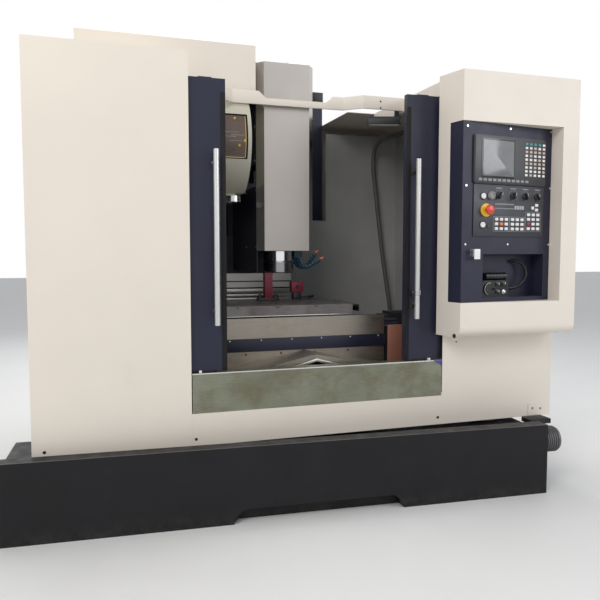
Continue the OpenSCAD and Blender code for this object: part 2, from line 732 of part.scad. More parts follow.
module selector(i) placed() on_panel() {
    base = keypad_t + selector_h * 0.4;
    disc_y(-base, -keypad_t - small_gap, selector_at[i][0], selector_at[i][1], selector_r);
    translate([selector_at[i][0], 0, selector_at[i][1]]) rotate([0, 35 - 25 * i, 0])
        slab([-5, 5], [-keypad_t - selector_h, -base + 2], [-selector_r + 1, selector_r - 1]);
    disc_y(-keypad_t - 1, -2, selector_at[i][0], selector_at[i][1], selector_stem);
}
module selector_1() color([0.08, 0.08, 0.09]) selector(0);
module selector_2() color([0.08, 0.08, 0.09]) selector(1);
module selector_3() color([0.08, 0.08, 0.09]) selector(2);
module selector_4() color([0.08, 0.08, 0.09]) selector(3);
trim_screws = [[21, 1231], [285, 1232], [557, 1232], [21, 1510], [558, 1517], [23, 1788], [288, 1794], [556, 1799]];
module panel_trim() color("gainsboro") placed() on_panel() translate([0, -seat_gap, 0]) {
    for (at = trim_screws) disc_y(-3, 0, at[0], at[1], 5);
    difference() {
        slab([hook_at[0], hook_at[0] + hook_w], [-34, 0], [hook_at[1], hook_at[1] + 48]);
        slab([hook_at[0] - 1, hook_at[0] + hook_w + 1], [-28, -6], [hook_at[1] + 12, hook_at[1] + 49]);
    }
}
hook_at = [50, 1160];
hook_w = 36;
pendant_at = [niche_u0 + 14, niche_z0 + 0.2];
module pendant_body() color([0.1, 0.1, 0.11]) placed() on_panel() difference() {
    translate([pendant_at[0], pendant_y0 + pendant_t, pendant_at[1]]) rotate([90, 0, 0])
        linear_extrude(pendant_t) round_box(pendant_l, pendant_w, 12);
    disc_y(pendant_y0 - 1, pendant_y0 + 12, wheel_at[0], wheel_at[1], 5 + run_gap);
}
pendant_y0 = 18;
wheel_at = [pendant_at[0] + pendant_w / 2, pendant_at[1] + pendant_w / 2];
module pendant_wheel() color("silver") placed() on_panel() {
    disc_y(pendant_y0 - 12, pendant_y0 - small_gap, wheel_at[0], wheel_at[1], wheel_r);
    disc_y(pendant_y0 - 1, pendant_y0 + 10, wheel_at[0], wheel_at[1], 5);
    disc_y(pendant_y0 - 26, pendant_y0 - 11, wheel_at[0] + wheel_r - 9, wheel_at[1], 5);
}

// Route of the pendant's curly cord and of the work area hose, and the tube that follows a route
curl_route = [[pendant_at[0] + pendant_l + small_gap, 40, 1012], [350, 40, 1012], [392, 38, 1020],
    [430, 36, 1046], [448, 36, 1084], [440, 42, 1122], [416, 50, 1143], [392, 57, 1150], [379, 67, 1151],
    [377, niche_d - small_gap, 1151]];
hose_route = [[gland_x, gland_y + small_gap, gland_z], [800, 765, 1925], [800, 830, 1922], [800, 900, 1923], [800, 970, 1927],
    [800, 1040, 1931], [800, 1090, 1932], [800, 1130, 1926], [800, 1170, 1908], [801, 1204, 1874],
    [803, 1226, 1826], [806, 1234, 1770], [814, 1234, 1690], [828, 1234, 1580], [842, 1233, 1460],
    [857, 1232, 1340], [872, 1230, 1220], [887, 1227, 1110], [903, 1223, 1000], [918, 1218, 900],
    [930, 1213, 810], [938, 1208, 730], [942, 1205, 670], [stub_at[0], stub_at[1], stub_z + small_gap]];
hose_r = 14;
function unit(v) = v / norm(v);
function mid_dir(p, i) = unit(p[min(i + 1, len(p) - 1)] - p[max(i - 1, 0)]);
function smooth(p) = [for (i = [0 : len(p) - 2], t = [0, 0.5])
    t == 0 ? p[i] : curve_mid(p[max(i - 1, 0)], p[i], p[i + 1], p[min(i + 2, len(p) - 1)])];
function curve_mid(a, b, c, d) = (b + c) * 0.5625 - (a + d) * 0.0625;
function ring(c, d, side, r, n) = let (u = unit(cross(d, side)), v = unit(cross(d, u)))
    [for (k = [0 : n - 1]) c + r * (cos(k * 360 / n) * u + sin(k * 360 / n) * v)];
module tube(route, r, n, side) {
    p = concat(smooth(route), [route[len(route) - 1]]);
    m = len(p);
    points = [for (i = [0 : m - 1]) each ring(p[i], mid_dir(p, i), side, r, n)];
    walls = [for (i = [0 : m - 2], k = [0 : n - 1])
        [i * n + k, i * n + (k + 1) % n, (i + 1) * n + (k + 1) % n, (i + 1) * n + k]];
    polyhedron(points, concat([[for (k = [n - 1 : -1 : 0]) k]], walls, [[for (k = [0 : n - 1]) (m - 1) * n + k]]));
}
module pendant_cord() color([0.08, 0.08, 0.08]) placed() on_panel() tube(curl_route, curl_r, 8, [0, 1, 0]);
module work_hose() color([0.22, 0.22, 0.23]) placed() tube(hose_route, hose_r, 10, [1, 0, 0]);

// Doors
left_door_x1 = door_mid - door_gap / 2 - door_open;
right_door_x0 = door_mid + door_gap / 2 + door_open;
module door(edge, side) translate([edge, 0, 0]) mirror([side < 0 ? 1 : 0, 0, 0]) {
    difference() {
        slab([0, door_w], [door_y, door_y + door_t], [door_z0, door_z1]);
        slab([window_edge, window_edge + window_w], [door_y - 1, door_y + door_t + 1], [window_z0, window_z0 + window_h]);
    }
    for (x = [60, door_w - 120]) {
        slab([x, x + 60], [door_y + 5, door_y + door_t - 5], [sill_z1 + small_gap, door_z0 + 1]);
        slab([x, x + 60], [door_y + 5, door_y + door_t - 5], [door_z1 - 1, door_z1 + 5 - small_gap]);
    }
}
module door_left() color([0.12, 0.14, 0.25]) placed() door(left_door_x1, -1);
module door_right() color([0.12, 0.14, 0.25]) placed() door(right_door_x0, 1);
module window(edge, side) translate([edge, 0, 0]) mirror([side < 0 ? 1 : 0, 0, 0])
    slab([window_edge + small_gap, window_edge + window_w - small_gap],
        [door_y + (door_t - window_t) / 2, door_y + (door_t + window_t) / 2],
        [window_z0 + small_gap, window_z0 + window_h - small_gap]);
module window_left() color([0.6, 0.7, 0.72, 0.4]) placed() window(left_door_x1, -1);
module window_right() color([0.6, 0.7, 0.72, 0.4]) placed() window(right_door_x0, 1);
handle_y1 = door_y - handle_off;
module handle(x) {
    slab([x - handle_w / 2, x + handle_w / 2], [handle_y1 - handle_t, handle_y1], [handle_z0, handle_z0 + handle_l]);
    for (z = [handle_z0 + 60, handle_z0 + handle_l - 60]) disc_y(handle_y1 - 1, door_y, x, z, 9);
}
module handle_left() color("gainsboro") placed() handle(left_door_x1 - handle_edge - 8);
module handle_right() color("gainsboro") placed() {
    x = right_door_x0 + handle_edge - 6;
    handle(x);
    slab([x - 22, x - handle_w / 2 + 1], [handle_y1 - handle_t + 2, handle_y1 - 2], [latch_z, latch_z + 46]);
    disc_y(handle_y1 - handle_t - 6, handle_y1 - 2, x - 14, latch_z + 23, 9);
}
latch_z = 976;

// Saddle, table and their screws
saddle_y0 = table_y - saddle_d / 2;
saddle_y1 = table_y + saddle_d / 2;
saddle_z0 = base_z1 + rail_h + 8;
carriage_l = 90;
carriage_w = 74;
carriage_gap = 4;
nut_w = 90;
nut_gap = 3;
module y_carriage(x, y) slab([x - carriage_w / 2, x + carriage_w / 2], [y, y + carriage_l],
    [base_z1 + carriage_gap, saddle_z0 + 1]);
module saddle() color([0.2, 0.22, 0.28]) placed() difference() {
    union() {
        slab([-saddle_w / 2, saddle_w / 2], [saddle_y0, saddle_y1], [saddle_z0, saddle_z1]);
        for (x = [-y_rail_x, y_rail_x], y = [saddle_y0 + 10, saddle_y1 - carriage_l - 10]) y_carriage(x, y);
        slab([-nut_w / 2, nut_w / 2], [saddle_y0 + 80, saddle_y0 + 180], [base_z1 + 2, saddle_z0 + 1]);
        for (y = [-x_rail_y, x_rail_y]) translate([0, table_y + y, 0])
            along_x(-saddle_w / 2, saddle_w / 2) translate([0, saddle_z1]) rail_profile();
        for (x = [-saddle_w / 2, saddle_w / 2 - screw_block])
            slab([x, x + screw_block], [table_y - screw_block, table_y + screw_block],
                [saddle_z1 - 1, x_screw_z + screw_r + 8]);
    }
    for (x = [-y_rail_x, y_rail_x]) along_y(saddle_y0 - 1, saddle_y1 + 1) translate([x, base_z1]) rail_slot();
    disc_y(saddle_y0 - 1, saddle_y1 + 1, 0, y_screw_z, screw_r + nut_gap);
    disc_x(-saddle_w / 2 - 1, saddle_w / 2 + 1, table_y, x_screw_z, screw_r + run_gap);
    for (x = [-1, 1]) slab([x * saddle_w / 4 - 130, x * saddle_w / 4 + 130],
        [saddle_y0 + 110, saddle_y1 - 110], [saddle_z0 - 1, saddle_z1 - 50]);
}
x_screw_z = saddle_z1 + 22;

// Way cover plates: each is a tent with skirts, and its front lip wipes the next plate
ycover_stagger = 8;
ycover_y0 = apron_y - ycover_l - 5;
lip_l = 8;
function ycover_ridge(k) = ycover_z - k * ycover_drop;
function ycover_half(k) = ycover_x - k * cover_step;
module tent(k, side, top, foot) {
    half = ycover_half(k);
    ridge = ycover_ridge(k);
    polygon([[-half, foot], [-half, ridge - ycover_rise], [0, ridge], [half, ridge - ycover_rise], [half, foot],
        [half - side, foot], [half - side, ridge - ycover_rise - top], [0, ridge - top],
        [-half + side, ridge - ycover_rise - top], [-half + side, foot]]);
}
module ycover_plate(k, foot) {
    y0 = ycover_y0 - k * ycover_stagger;
    along_y(y0, y0 + ycover_l) tent(k, sheet_t, sheet_t, foot);
    if (k < 3) along_y(y0, y0 + lip_l) tent(k, cover_step - small_gap, ycover_drop - small_gap, foot);
}
ycover_foot = base_z1 + 6;
apron_top = table_z - table_t - 5;
module saddle_cover() color([0.72, 0.71, 0.68]) placed() {
    along_y(apron_y, apron_y + sheet_t) polygon([[-apron_w / 2, apron_top], [apron_w / 2, apron_top],
        [apron_w / 2, ycover_z - ycover_rise], [ycover_x, ycover_z - ycover_rise], [0, ycover_z],
        [-ycover_x, ycover_z - ycover_rise], [-apron_w / 2, ycover_z - ycover_rise]]);
    slab([-apron_w / 2, apron_w / 2], [apron_y, saddle_y0], [saddle_z1 - 12, saddle_z1 - 12 + sheet_t]);
    slab([-apron_w / 2, apron_w / 2], [apron_y - 5, apron_y], [wiper_z, apron_low]);
    ycover_plate(0, ycover_foot);
    along_y(apron_y - 6, apron_y + sheet_t) tent(0, sheet_t, sheet_t, ycover_foot);
}
module y_cover_rear() color([0.72, 0.71, 0.68]) placed() ycover_plate(1, ycover_foot);
module y_cover_front() color([0.72, 0.71, 0.68]) placed() ycover_plate(2, ycover_foot);

carriage_x = 100;
module x_carriage(x, y) slab([x, x + carriage_l], [y - carriage_w / 2, y + carriage_w / 2],
    [saddle_z1 + carriage_gap, table_z - table_t + 1]);
module table() color([0.3, 0.3, 0.31]) placed() translate([table_x, table_y, 0]) difference() {
    union() {
        slab([-table_l / 2, table_l / 2], [-table_w / 2, table_w / 2], [table_z - table_t, table_z]);
        for (x = [-carriage_x - carriage_l, carriage_x], y = [-x_rail_y, x_rail_y]) x_carriage(x, y);
        slab([-nut_w / 2, nut_w / 2], [-nut_w / 2, nut_w / 2], [saddle_z1 + 2, table_z - table_t + 1]);
    }
    for (i = [0 : slot_n - 1]) along_x(-table_l / 2 - 1, table_l / 2 + 1)
        translate([(i - (slot_n - 1) / 2) * slot_p, table_z]) {
            translate([-slot_w / 2, -slot_d]) square([slot_w, slot_d + 1]);
            translate([-slot_foot / 2, -slot_d]) square([slot_foot, slot_foot_h]);
        }
    for (y = [-x_rail_y, x_rail_y]) translate([0, y, 0]) along_x(-table_l / 2, table_l / 2)
        translate([0, saddle_z1]) rail_slot();
    disc_x(-table_l / 2, table_l / 2, 0, x_screw_z, screw_r + nut_gap);
}
slot_d = 30;
slot_foot_h = 13;
motor_bite = 20;
module x_screw() color("silver") placed()
    disc_x(-saddle_w / 2 + 2, saddle_w / 2 + motor_bite, table_y, x_screw_z, screw_r);
module y_screw() color("silver") placed() disc_y(y_screw_y0 + 2, y_screw_y1 + motor_bite, 0, y_screw_z, screw_r);
module z_screw() color("silver") placed() translate([0, z_screw_y, z_screw_z0 + 2])
    cylinder(r = screw_r, h = column_z1 - z_screw_z0 - 2 + motor_bite);
module servo(size, len) difference() {
    translate([-size / 2, -size / 2, 0]) cube([size, size, len]);
    for (x = [-size / 2, size / 2], y = [-size / 2, size / 2]) translate([x, y, 20])
        cylinder(r = size / 9, h = len - 70);
    translate([0, 0, -1]) cylinder(r = screw_r + 1, h = motor_bite + 11);
}
x_motor_s = 80;
x_motor_l = 145;
z_motor_l = 150;
module x_motor() color([0.12, 0.12, 0.13]) placed() translate([saddle_w / 2, table_y, x_screw_z])
    rotate([0, 90, 0]) servo(x_motor_s, x_motor_l);
module axis_motors() color([0.12, 0.12, 0.13]) placed() {
    translate([0, y_screw_y1, y_screw_z]) rotate([-90, 0, 0]) servo(motor_s, motor_l);
    translate([0, z_screw_y, column_z1]) servo(motor_s, z_motor_l);
}

// Head
slide_z0 = 1250;
slide_z1 = 1640;
module head_casting() color([0.12, 0.14, 0.2]) placed() difference() {
    union() {
        slab([-z_rail_x - 45, z_rail_x + 45], [slide_y0, slide_y1], [slide_z0, slide_z1]);
        for (x = [-z_rail_x, z_rail_x], z = [slide_z0 + 10, slide_z1 - carriage_l - 10])
            slab([x - carriage_w / 2, x + carriage_w / 2], [slide_y1 - 1, column_y0 - 4], [z, z + carriage_l]);
        along_x(-head_x, head_x) polygon([[slide_y0 + 1, slide_z0 + 60], [slide_y0 + 1, slide_z1],
            [head_y0 + 260, head_z1], [head_y0, head_z1], [head_y0, head_z0], [spindle_y + 130, head_z0]]);
        translate([0, spindle_y, nose_z + nose_h + collar_gap]) cylinder(r = nose_r - 1, h = head_z0 - nose_z);
    }
    for (x = [-z_rail_x, z_rail_x]) translate([x, column_y0, slide_z0 - 1]) rotate([0, 0, 180])
        linear_extrude(slide_z1 - slide_z0 + 2) rail_slot();
    translate([0, z_screw_y, slide_z0 - 1]) cylinder(r = screw_r + nut_gap, h = slide_z1 - slide_z0 + 2);
    translate([0, spindle_y, nose_z]) cylinder(r = 60 + run_gap, h = head_z1 - nose_z + 1);
}
module cover_outline(t) polygon([[-cover_x + t, cover_back - t], [-cover_x + t, hcover_y0 + bevel_d],
    [-hcover_face + t * 0.5, shell_y0 + t], [hcover_face - t * 0.5, shell_y0 + t],
    [cover_x - t, hcover_y0 + bevel_d], [cover_x - t, cover_back - t]]);
cover_x = head_x + 2 * sheet_t;
cover_back = head_y0 + hcover_d;
shell_y0 = hcover_y0 + sheet_t;
bevel_d = 45;
ridge_x = [40, 150];
ridge_y = [head_y0 + 20, head_y0 + 100];
ridge_h = 45;
module head_cover() color([0.66, 0.65, 0.63]) placed() {
    slab([-hcover_face, hcover_face], [hcover_y0, shell_y0], [hcover_z0, hcover_z1]);
    along_x(ridge_x[0], ridge_x[1]) polygon([[ridge_y[0], hcover_z1],
        [(ridge_y[0] + ridge_y[1]) / 2, hcover_z1 + ridge_h], [ridge_y[1], hcover_z1]]);
}
module cover_shell() difference() {
    translate([0, 0, hcover_z0]) linear_extrude(hcover_z1 - hcover_z0) cover_outline(0);
    translate([0, 0, hcover_z0 - 1]) linear_extrude(hcover_z1 - hcover_z0 - sheet_t + 1) cover_outline(sheet_t);
    slab([-cover_x - 1, cover_x + 1], [head_y0 + 1, cover_back + 1], [hcover_z0 - 1, head_z1 + 120]);
}
side_y0 = head_y0 - 12;
module head_side_covers() color([0.11, 0.13, 0.24]) placed() {
    cover_shell();
    slab([-head_x - sheet_t, -head_x], [side_y0, slide_y0 - 6], [nose_z, head_z1 - 4]);
    slab([head_x, head_x + sheet_t], [side_y0, slide_y0 - 6], [hcover_z0, head_z1 - 4]);
    slab([-zcover_x, zcover_x], [slide_y0 - sheet_t, slide_y0], [ztop_z, slide_z0 + 50]);
    slab([-zcover_x, zcover_x], [slide_y0 - 1, slide_y0 + zlip], [ztop_z, ztop_z + lip_l]);
}
zlip = 2 - small_gap;
ztop_z = 1057;
zcover_edges = [1001, 958];
module spindle() color("silver") placed() translate([0, spindle_y, nose_z]) rotate_extrude()
    polygon([[taper_r, 0], [nose_r - 6, 0], [nose_r, 6], [nose_r, nose_h], [60, nose_h], [60, head_z1 - nose_z - 20],
        [30, head_z1 - nose_z - 20], [30, head_z1 - nose_z + 10], [0, head_z1 - nose_z + 10], [0, taper_l],
        [taper_r - taper_l * taper_slope, taper_l]]);
nose_h = 60;
collar_gap = 4;
taper_r = 22.2;
taper_l = 68;
taper_slope = 7 / 48;
module spindle_motor() color([0.15, 0.15, 0.16]) placed() translate([0, spindle_y, head_z1]) difference() {
    union() {
        translate([-smotor_r, -smotor_r, 0]) cube([2 * smotor_r, 2 * smotor_r, 25]);
        cylinder(r = smotor_r, h = smotor_h);
        for (a = [0 : 30 : 330]) rotate([0, 0, a]) translate([smotor_r - 4, -4, 40]) cube([14, 8, smotor_h - 120]);
    }
    translate([0, 0, -1]) cylinder(r = 32, h = 31);
}
nozzle_r = 10;
nozzle_bend = 45;
nozzle_step = 24;
nozzle_pitch = 21;
nozzle_tip = 34;
nozzle_z = head_z0 - 65;
block_low = head_z0 - 50;
module nozzle_link(r, h) mirror([0, 0, 1]) cylinder(r1 = nozzle_r, r2 = r, h = h);
module nozzle_arm(x0, y0, links, run) translate([x0, y0, nozzle_z]) {
    cylinder(r = nozzle_r, h = block_low - nozzle_z + 1);
    for (i = [0 : links]) translate([nozzle_bend, 0, 0]) rotate([0, -i * nozzle_step, 0]) translate([-nozzle_bend, 0, 0]) {
        sphere(r = nozzle_r + 2);
        if (i < links) rotate([0, -nozzle_step / 2, 0])
            nozzle_link(nozzle_r - 1, 2 * nozzle_bend * sin(nozzle_step / 2));
        else for (j = [0 : run]) translate([0, 0, -j * nozzle_pitch]) {
            sphere(r = nozzle_r + 2);
            nozzle_link(j == run ? 4 : nozzle_r - 1, j == run ? nozzle_tip : nozzle_pitch);
        }
    }
}
module coolant_nozzles() color([0.1, 0.25, 0.4]) placed() {
    slab([nose_r + 4, nose_r + 54], [spindle_y - 28, spindle_y + 28], [block_low, head_z0 - small_gap]);
    nozzle_arm(nose_r + 21, spindle_y + 14, 6, 3);
    nozzle_arm(nose_r + 34, spindle_y - 14, 5, 3);
}

// Tool magazine
module drum_solid(r, x0, x1, cut) intersection() {
    disc_x(x0, x1, drum_y, drum_z, r);
    slab([x0 - 1, x1 + 1], [drum_y - r - 1, drum_y + r + 1], [cut, drum_z + r + 1]);
}
drum_x0 = drum_x1 - drum_w;
arm_box = 80;
module magazine_housing() color([0.82, 0.81, 0.75]) placed() difference() {
    union() {
        difference() {
            union() {
                drum_solid(drum_r, drum_x0, drum_x1, drum_cut_z);
                slab(beam_x, [drum_y, column_y0], [drum_z - 135, drum_z + 45]);
            }
            drum_solid(drum_r - 5, drum_x0 + 5, drum_x1 - 5, drum_cut_z + 5);
            slab([drum_x0 + 40, drum_x1 - 20], [drum_y - drum_r - 1, drum_y - drum_r + 90],
                [window_low, window_low + 234]);
            slab([drum_x0 + 30, drum_x0 + 150], [drum_y - 70, drum_y + 70], [drum_cut_z - 1, drum_cut_z + 6]);
        }
        slab(beam_x + [-6, 30], [column_y0 - 16, column_y0], [drum_z - 160, drum_z + 70]);
        slab([arm_x - arm_box, arm_x + arm_box], [spindle_y - arm_box, spindle_y + arm_box],
            [arm_z + arm_t + 4, drum_cut_z + 1]);
        disc_x(drum_x0 + 1, drum_x0 + 90, drum_y, drum_z, 60);
    }
    disc_x(drum_x0 + 20, drum_x0 + 91, drum_y, drum_z, 30 + run_gap);
    translate([arm_x, spindle_y, arm_z]) cylinder(r = arm_shaft + run_gap, h = drum_cut_z - arm_z - 2);
}
beam_x = [-460, -290];
arm_shaft = 20;
window_low = 1686;
module tool_disc() color([0.35, 0.28, 0.22]) placed() {
    disc_x(drum_x0 + 90 + small_gap, drum_x0 + 115, drum_y, drum_z, pot_circle + pot_r + 6);
    disc_x(drum_x0 + 24, drum_x0 + 91, drum_y, drum_z, 30);
    for (i = [0 : pots - 1]) translate([0, drum_y, drum_z]) rotate([i * 360 / pots, 0, 0])
        disc_x(drum_x0 + 114, drum_x0 + 115 + pot_l, pot_circle, 0, pot_r);
}
module changer_arm() color([0.55, 0.55, 0.55]) placed() translate([arm_x, spindle_y, arm_z]) {
    difference() {
        union() {
            cylinder(r = 55, h = arm_t);
            slab([-32, 32], [-arm_reach, arm_reach], [0, arm_t]);
            for (s = [-1, 1]) translate([0, s * arm_reach, 0]) cylinder(r = 46, h = arm_t);
        }
        for (s = [-1, 1]) {
            translate([0, s * arm_reach, -1]) cylinder(r = 26, h = arm_t + 2);
            slab([s > 0 ? 0 : -50, s > 0 ? 50 : 0], [s * arm_reach - 26, s * arm_reach + 26], [-1, arm_t + 1]);
        }
    }
    translate([0, 0, arm_t - 1]) cylinder(r = arm_shaft, h = drum_cut_z - arm_z - arm_t - 4);
}

// Column way cover, between the head's plate and the fixed sheet below
module zcover_plate(k, y) {
    z0 = zcover_edges[k - 1];
    half = zcover_x - cover_step * k;
    slab([-half, half], [y, y + sheet_t], [z0, z0 + zcover_h]);
    slab([-half, half], [y + 1, y + sheet_t + zlip], [z0, z0 + lip_l]);
}
module z_cover_high() color([0.75, 0.74, 0.72]) placed() zcover_plate(1, slide_y0 + 2);
module z_cover_low() color([0.75, 0.74, 0.72]) placed() zcover_plate(2, slide_y0 + 2 + cover_step);

// Electrical cabinet at the back
module ecab_body() color([0.93, 0.91, 0.84]) placed() {
    difference() {
        slab([-ecab_w / 2, ecab_w / 2], [ecab_y0, ecab_y1], [ecab_z0, ecab_z1]);
        slab([-ecab_w / 2 + 30, ecab_w / 2 - 30], [ecab_y1 - 6, ecab_y1 + 1], [ecab_z0 + 30, ecab_z1 - 30]);
    }
    for (z = [ecab_z0 + 420, ecab_z1 - 200]) slab([-ecab_w / 2 + 20, ecab_w / 2 - 20], [column_y1, ecab_y0 + 1], [z, z + 60]);
    for (z = hinge_z, i = [-1, 1]) translate([0, 0, i * (knuckle_l + small_gap)]) {
        knuckle(z, 0, 0);
        slab([ecab_w / 2, ecab_w / 2 + sheet_t], [ecab_y1 - 40, hinge_at[1]], [z, z + knuckle_l]);
    }
}
module ecab_door() color([0.93, 0.91, 0.84]) placed() {
    difference() {
        slab([-ecab_w / 2 + door_edge, hinge_at[0]], [ecab_y1 + small_gap, hinge_at[1]],
            [ecab_z0 + door_edge, ecab_z1 - door_edge]);
        for (i = [0 : louvre_n - 1]) translate([0, 0, ecab_z0 + louvre_z + i * louvre_p])
            slab([-louvre_l / 2, louvre_l / 2], [hinge_at[1] - 5, hinge_at[1] + 1], [0, louvre_h]);
        disc_y(hinge_at[1] - 8, hinge_at[1] + 1, switch_x, switch_z, 6 + run_gap);
        for (z = hinge_z, i = [-1, 1]) knuckle(z + i * (knuckle_l + small_gap) - small_gap, side_gap, 2 * small_gap);
    }
    for (z = hinge_z) knuckle(z, 0, 0);
}
door_edge = 4;
louvre_n = 9;
louvre_z = 120;
louvre_p = 26;
louvre_h = 12;
louvre_l = 320;
hinge_at = [ecab_w / 2 - door_edge, ecab_y1 + edoor_t];
hinge_z = [ecab_z0 + 200, ecab_z1 - 240];
knuckle_r = 8;
knuckle_l = 40;
module knuckle(z, grow, longer) translate([hinge_at[0], hinge_at[1], z]) cylinder(r = knuckle_r + grow, h = knuckle_l + longer);
switch_x = -ecab_w / 2 + 120;
switch_z = ecab_z1 - 350;
module main_switch() color("red") placed() {
    disc_y(ecab_y1 + edoor_t + small_gap, ecab_y1 + edoor_t + 18, switch_x, switch_z, 34);
    disc_y(ecab_y1 + edoor_t - 7, ecab_y1 + edoor_t + 1, switch_x, switch_z, 6);
    slab([switch_x - 10, switch_x + 10], [ecab_y1 + edoor_t + 17, back_y], [switch_z - 32, switch_z + 32]);
}

// Coolant tank
module at_tank() translate([tank_x0, tank_y0, 0]) rotate([0, 0, -tank_yaw]) children();
module tank() color([0.08, 0.09, 0.12]) placed() at_tank() difference() {
    union() {
        slab([0, tank_l], [0, trough_d], [0, tank_h]);
        slab([0, tank_l], [trough_d - 1, tank_d], [0, tank_low]);
    }
    along_y(-1, toe_d) polygon([[toe_x0, -1], [toe_x0, 8], [toe_x0 + 18, 22], [toe_x0 + 18, 40],
        [toe_x0 + 50, toe_h], [toe_x1 - 50, toe_h], [toe_x1 - 18, 40], [toe_x1 - 18, 22], [toe_x1, 8], [toe_x1, -1]]);
}
auger_at = [75, 250];
module tank_motors() color([0.1, 0.1, 0.1]) placed() at_tank() {
    disc_x(tank_l + small_gap, tank_l + 90, auger_at[0], auger_at[1], auger_r);
    for (i = [0 : 5]) disc_x(tank_l + 14 + i * 12, tank_l + 19 + i * 12, auger_at[0], auger_at[1], auger_r + 6);
    translate([tank_l - 150, tank_d - 110, tank_low + small_gap]) {
        cylinder(r = 80, h = 20);
        cylinder(r = 62, h = 150);
    }
}

// Red post and block that stand on the table
module transport_blocks() color([0.7, 0.1, 0.15]) placed() {
    translate([post_at[0], post_at[1], table_z]) {
        slab([-post_w / 2, post_w / 2], [-post_d / 2, post_d / 2], [0, nose_z - table_z - 2]);
        slab([-foot_w / 2, foot_w / 2], [-foot_d / 2, foot_d / 2], [0, foot_t]);
        for (x = [-1, 1]) translate([x * (foot_w / 2 - 16), 0, foot_t]) cylinder(r = nut_r, h = nut_h);
    }
    translate([block_at[0], block_at[1], table_z]) {
        slab([-neck_w / 2, neck_w / 2], [-neck_d / 2, neck_d / 2], [0, neck_h]);
        slab([-block_w / 2, block_w / 2], [-block_d / 2, block_d / 2], [neck_h, neck_h + block_h]);
        slab([neck_w / 2 - 1, bar_x1], [-bar_d / 2, bar_d / 2], [0, bar_h]);
    }
}
post_at = [-78, 724];
block_at = [104, 760];
nut_r = 10;
nut_h = 14;
neck_w = 44;
neck_d = 40;
neck_h = 40;
bar_x1 = 110;
bar_d = 20;
bar_h = 30;

base_casting();
column_casting();
leveling_feet();
guide_rails();
left_panel();
front_skirt();
sill_plate();
left_housing();
right_housing();
inner_walls();
roof_rim();
operator_cabinet();
operator_panel();
display_unit();
keypad_panel();
panel_trim();
estop_button();
start_button();
stop_button();
selector_1();
selector_2();
selector_3();
selector_4();
pendant_body();
pendant_wheel();
pendant_cord();
door_left();
door_right();
window_left();
window_right();
handle_left();
handle_right();
saddle();
saddle_cover();
table();
x_screw();
y_screw();
z_screw();
x_motor();
axis_motors();
head_casting();
head_cover();
head_side_covers();
spindle();
spindle_motor();
coolant_nozzles();
magazine_housing();
tool_disc();
changer_arm();
z_cover_low();
z_cover_high();
y_cover_front();
y_cover_rear();
ecab_body();
ecab_door();
main_switch();
tank();
tank_motors();
work_hose();
transport_blocks();
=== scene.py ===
import math

import bmesh
import bpy
from mathutils import Matrix, Vector


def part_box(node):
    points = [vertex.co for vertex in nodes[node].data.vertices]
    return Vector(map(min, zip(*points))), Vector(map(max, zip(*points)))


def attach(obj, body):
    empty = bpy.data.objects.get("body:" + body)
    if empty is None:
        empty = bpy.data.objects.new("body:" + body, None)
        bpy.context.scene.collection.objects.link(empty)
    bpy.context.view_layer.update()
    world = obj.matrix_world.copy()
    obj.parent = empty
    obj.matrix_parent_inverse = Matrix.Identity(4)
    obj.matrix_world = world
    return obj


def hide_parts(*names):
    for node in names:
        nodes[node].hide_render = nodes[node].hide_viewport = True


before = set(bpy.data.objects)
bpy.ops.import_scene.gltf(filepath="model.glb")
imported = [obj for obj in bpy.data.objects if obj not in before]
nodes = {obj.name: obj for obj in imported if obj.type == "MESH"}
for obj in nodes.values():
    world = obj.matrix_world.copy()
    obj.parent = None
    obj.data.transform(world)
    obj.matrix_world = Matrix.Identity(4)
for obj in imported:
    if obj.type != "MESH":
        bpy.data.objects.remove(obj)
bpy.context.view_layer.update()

# The machine's own measures in millimetres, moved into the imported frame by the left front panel's corner
MM_PER_M = 1000
LEFT_EDGE = -1300.0
panel_low = Vector(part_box("left_panel")[0])
origin = Vector((panel_low.x - LEFT_EDGE / MM_PER_M, panel_low.y, 0.0))
FRONT, LEFT, RIGHT, UP = Vector((0, -1, 0)), Vector((-1, 0, 0)), Vector((1, 0, 0)), Vector((0, 0, 1))


def at(x, y, z):
    """A point in machine millimetres, in the frame's metres."""
    return origin + Vector((x, y, z)) / MM_PER_M


# The slanted operator panel: u along it, w into it, z up, in millimetres
FOLD = (635.0, -165.0)
PANEL_W = 566.0
PANEL_SINK = 75.0
PANEL_ANGLE = math.asin(PANEL_SINK / PANEL_W)
panel_turn = Matrix.Rotation(PANEL_ANGLE, 4, "Z")
PANEL_OUT = panel_turn @ FRONT


def on_panel(u, w, z):
    """A point of the operator panel, in the frame's metres."""
    return at(FOLD[0], FOLD[1], 0) + panel_turn @ (Vector((u, w, z)) / MM_PER_M)


# Camera at the photograph's viewing point
PHOTO_PX, FOCAL_PX = 600, 653.3
SENSOR_W = 36
VIEWPOINT = (-1060.7, -2894.9, 1189.0)
YAW, PITCH = math.radians(18.01), math.radians(4.11)
camera_data = bpy.data.cameras.new("camera")
camera_data.sensor_width = SENSOR_W
camera_data.lens = SENSOR_W * FOCAL_PX / PHOTO_PX
camera_data.clip_end = 60
camera = bpy.data.objects.new("camera", camera_data)
bpy.context.collection.objects.link(camera)
camera.location = at(*VIEWPOINT)
camera.rotation_euler = (math.pi / 2 - PITCH, 0, -YAW)
bpy.context.scene.camera = camera

# Node helpers for the materials
MIX_A, MIX_B, MIX_RESULT = 6, 7, 2
NOISE_LOW, NOISE_HIGH = 0.3, 0.7
GRAIN_DEPTH = 0.0006


